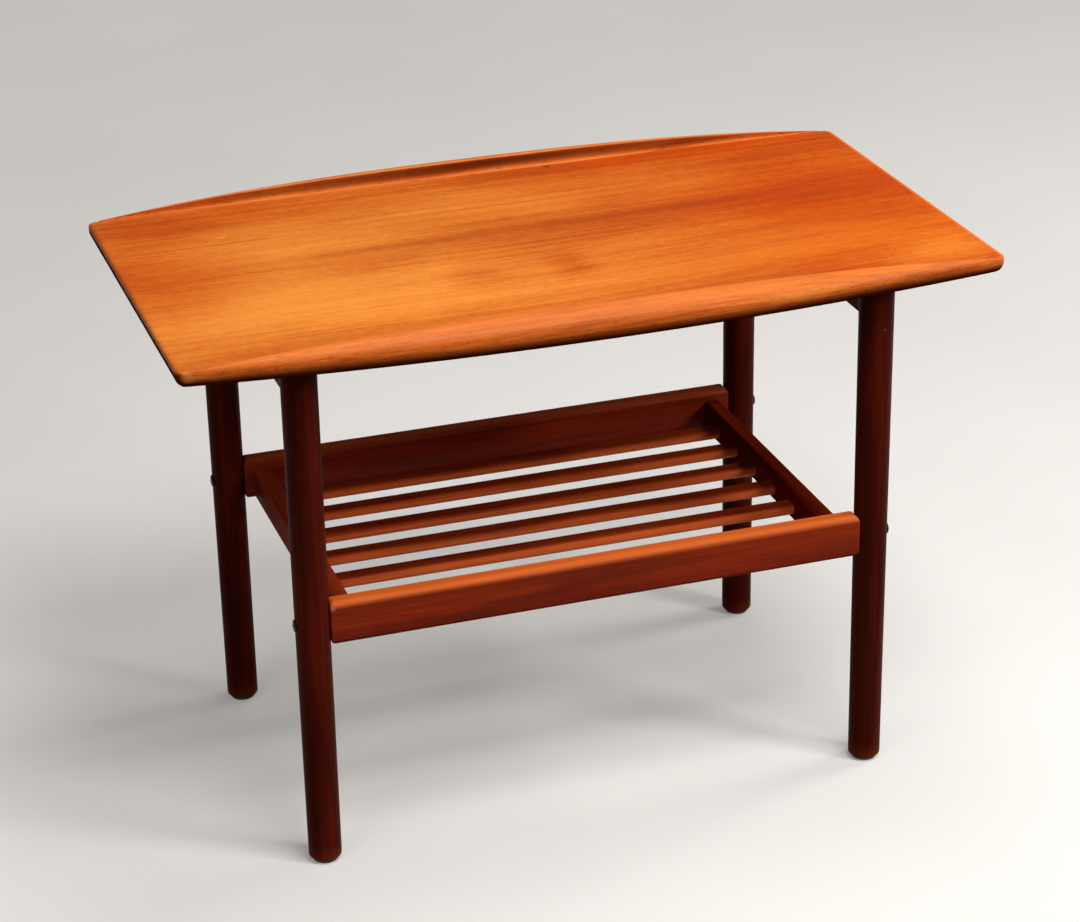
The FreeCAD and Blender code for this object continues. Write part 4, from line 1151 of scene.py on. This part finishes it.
class MAGAZINE_TABLE_OT_stage(bpy.types.Operator):
    """Set up the pale floor, the soft lights and the camera"""
    bl_idname = "magazine_table.stage"
    bl_label = "Stage"

    def execute(self, context):
        scene = context.scene
        colours = scene.magazine_table_colours
        scene.view_settings.view_transform = "Standard"
        mesh = bpy.data.meshes.new("studio_floor")
        corners = [(FLOOR_REACH * x, FLOOR_REACH * y, 0) for x, y in ((-1, -1), (1, -1), (1, 1), (-1, 1))]
        mesh.from_pydata(corners, [], [(0, 1, 2, 3)])
        floor = bpy.data.objects.new("studio_floor", mesh)
        scene.collection.objects.link(floor)
        material, tree, shader = new_material("painted studio floor")
        place = node(tree, "ShaderNodeTexCoord").outputs["Object"]
        mottle = node(tree, "ShaderNodeTexNoise", {"Vector": place, "Scale": 3.0, "Detail": 3})
        pale = tuple(colours.floor)
        shade = node(tree, "ShaderNodeValToRGB", {"Fac": mottle.outputs["Fac"]},
                     stops=[(0.3, tuple(part * 0.97 for part in pale)), (0.7, pale)])
        # The floor is pale to the eye, and sends less light back up under the table.
        path = node(tree, "ShaderNodeLightPath")
        seen = node(tree, "ShaderNodeMath", {
            0: path.outputs["Is Camera Ray"], 1: path.outputs["Is Glossy Ray"]}, operation="MAXIMUM")
        seen = node(tree, "ShaderNodeMath", {
            0: seen.outputs[0], 1: path.outputs["Is Transmission Ray"]}, operation="MAXIMUM")
        colour = node(tree, "ShaderNodeMix", {0: seen.outputs[0], 6: (*linear("#6a6864"), 1.0),
                                              7: shade.outputs["Color"]}, data_type="RGBA")
        # Seen from the camera it stays pale into the distance, where the lamps do not reach.
        far = node(tree, "ShaderNodeVectorMath", {0: place}, operation="LENGTH")
        lift = node(tree, "ShaderNodeMapRange", {"Value": far.outputs["Value"], "From Min": 1.2,
                                                 "From Max": 6.0, "To Min": 0.22, "To Max": 0.85})
        glow = node(tree, "ShaderNodeMath", {0: seen.outputs[0], 1: lift.outputs[0]}, operation="MULTIPLY")
        fill(tree, shader, {"Base Color": colour.outputs[2], "Emission Color": colour.outputs[2],
                            "Emission Strength": glow.outputs[0], "Roughness": 0.8,
                            "Specular IOR Level": 0.2})
        mesh.materials.append(material)
        floor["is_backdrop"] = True

        world = bpy.data.worlds.new("soft studio")
        world.use_nodes = True
        backdrop = world.node_tree.nodes["Background"]
        fill(world.node_tree, backdrop, {"Color": (1.0, 1.0, 1.0, 1.0), "Strength": 0.06})
        scene.world = world
        for name, spot, aim, size, power in (
                ("front softbox", (0.3, -1.3, 2.7), (0.0, 0.0, 0.4), 1.2, 41.0),
                ("overhead softbox", (0.4, 0.3, 2.9), (0.0, 0.0, 0.5), 1.2, 16.0),
                ("front right softbox", (2.0, -1.9, 1.7), (0.0, 0.0, 0.3), 0.7, 34.0),
                ("right softbox", (2.4, 0.3, 1.6), (0.0, 0.0, 0.4), 0.8, 18.0),
                ("left softbox", (-1.7, -1.2, 1.6), (0.0, 0.0, 0.3), 1.2, 8.0)):
            lamp = bpy.data.lights.new(name, "AREA")
            lamp.shape = "SQUARE"
            lamp.size = size
            lamp.energy = power
            holder = bpy.data.objects.new(name, lamp)
            holder.location = spot
            holder.rotation_euler = (Vector(aim) - Vector(spot)).to_track_quat("-Z", "Y").to_euler()
            scene.collection.objects.link(holder)

        forward = Vector((math.sin(CAMERA_YAW) * math.cos(CAMERA_PITCH),
                          math.cos(CAMERA_YAW) * math.cos(CAMERA_PITCH), -math.sin(CAMERA_PITCH)))
        level = Vector((math.cos(CAMERA_YAW), -math.sin(CAMERA_YAW), 0.0))
        upward = level.cross(forward)
        across = math.cos(CAMERA_ROLL) * level + math.sin(CAMERA_ROLL) * upward
        upright = math.cos(CAMERA_ROLL) * upward - math.sin(CAMERA_ROLL) * level
        lens = bpy.data.cameras.new("viewpoint")
        lens.lens = CAMERA_LENS_MM
        lens.sensor_fit = "HORIZONTAL"
        lens.sensor_width = 36.0
        lens.clip_end = 60.0
        viewpoint = bpy.data.objects.new("viewpoint", lens)
        turn = Matrix((across, upright, -forward)).transposed()
        viewpoint.matrix_world = Matrix.Translation(CAMERA_PLACE) @ turn.to_4x4()
        scene.collection.objects.link(viewpoint)
        scene.camera = viewpoint
        return {"FINISHED"}


class MAGAZINE_TABLE_PT_panel(bpy.types.Panel):
    """The table's pieces, sizes and colours"""
    bl_idname = "MAGAZINE_TABLE_PT_panel"
    bl_label = "Magazine Table"
    bl_space_type = "VIEW_3D"
    bl_region_type = "UI"
    bl_category = "Magazine Table"

    def draw(self, context):
        for kind in OPERATORS:
            self.layout.operator(kind.bl_idname)
        for group in (context.scene.magazine_table_sizes, context.scene.magazine_table_colours):
            box = self.layout.box()
            for name in group.__annotations__:
                box.prop(group, name)


OPERATORS = (
    MAGAZINE_TABLE_OT_stage,
    MAGAZINE_TABLE_OT_top_panel,
    MAGAZINE_TABLE_OT_lips,
    MAGAZINE_TABLE_OT_legs,
    MAGAZINE_TABLE_OT_rails,
    MAGAZINE_TABLE_OT_slats,
    MAGAZINE_TABLE_OT_bolts,
    MAGAZINE_TABLE_OT_glides,
    MAGAZINE_TABLE_OT_joinery,
)
CLASSES = (TableSizes, TableColours, *OPERATORS, MAGAZINE_TABLE_PT_panel)


def register():
    for kind in CLASSES:
        bpy.utils.register_class(kind)
    bpy.types.Scene.magazine_table_sizes = bpy.props.PointerProperty(type=TableSizes)
    bpy.types.Scene.magazine_table_colours = bpy.props.PointerProperty(type=TableColours)


def unregister():
    del bpy.types.Scene.magazine_table_colours
    del bpy.types.Scene.magazine_table_sizes
    for kind in reversed(CLASSES):
        bpy.utils.unregister_class(kind)


def main():
    register()
    bpy.ops.magazine_table.stage()
    bpy.ops.magazine_table.top_panel()
    bpy.ops.magazine_table.lips()
    bpy.ops.magazine_table.legs()
    bpy.ops.magazine_table.rails()
    bpy.ops.magazine_table.slats()
    bpy.ops.magazine_table.bolts()
    bpy.ops.magazine_table.glides()
    bpy.ops.magazine_table.joinery()
    boxes = {"cad": CAD_BOX, "visual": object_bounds()}
    {name: [list(low), list(high)] for name, (low, high) in boxes.items()}


if __name__ == "__main__":
    main()
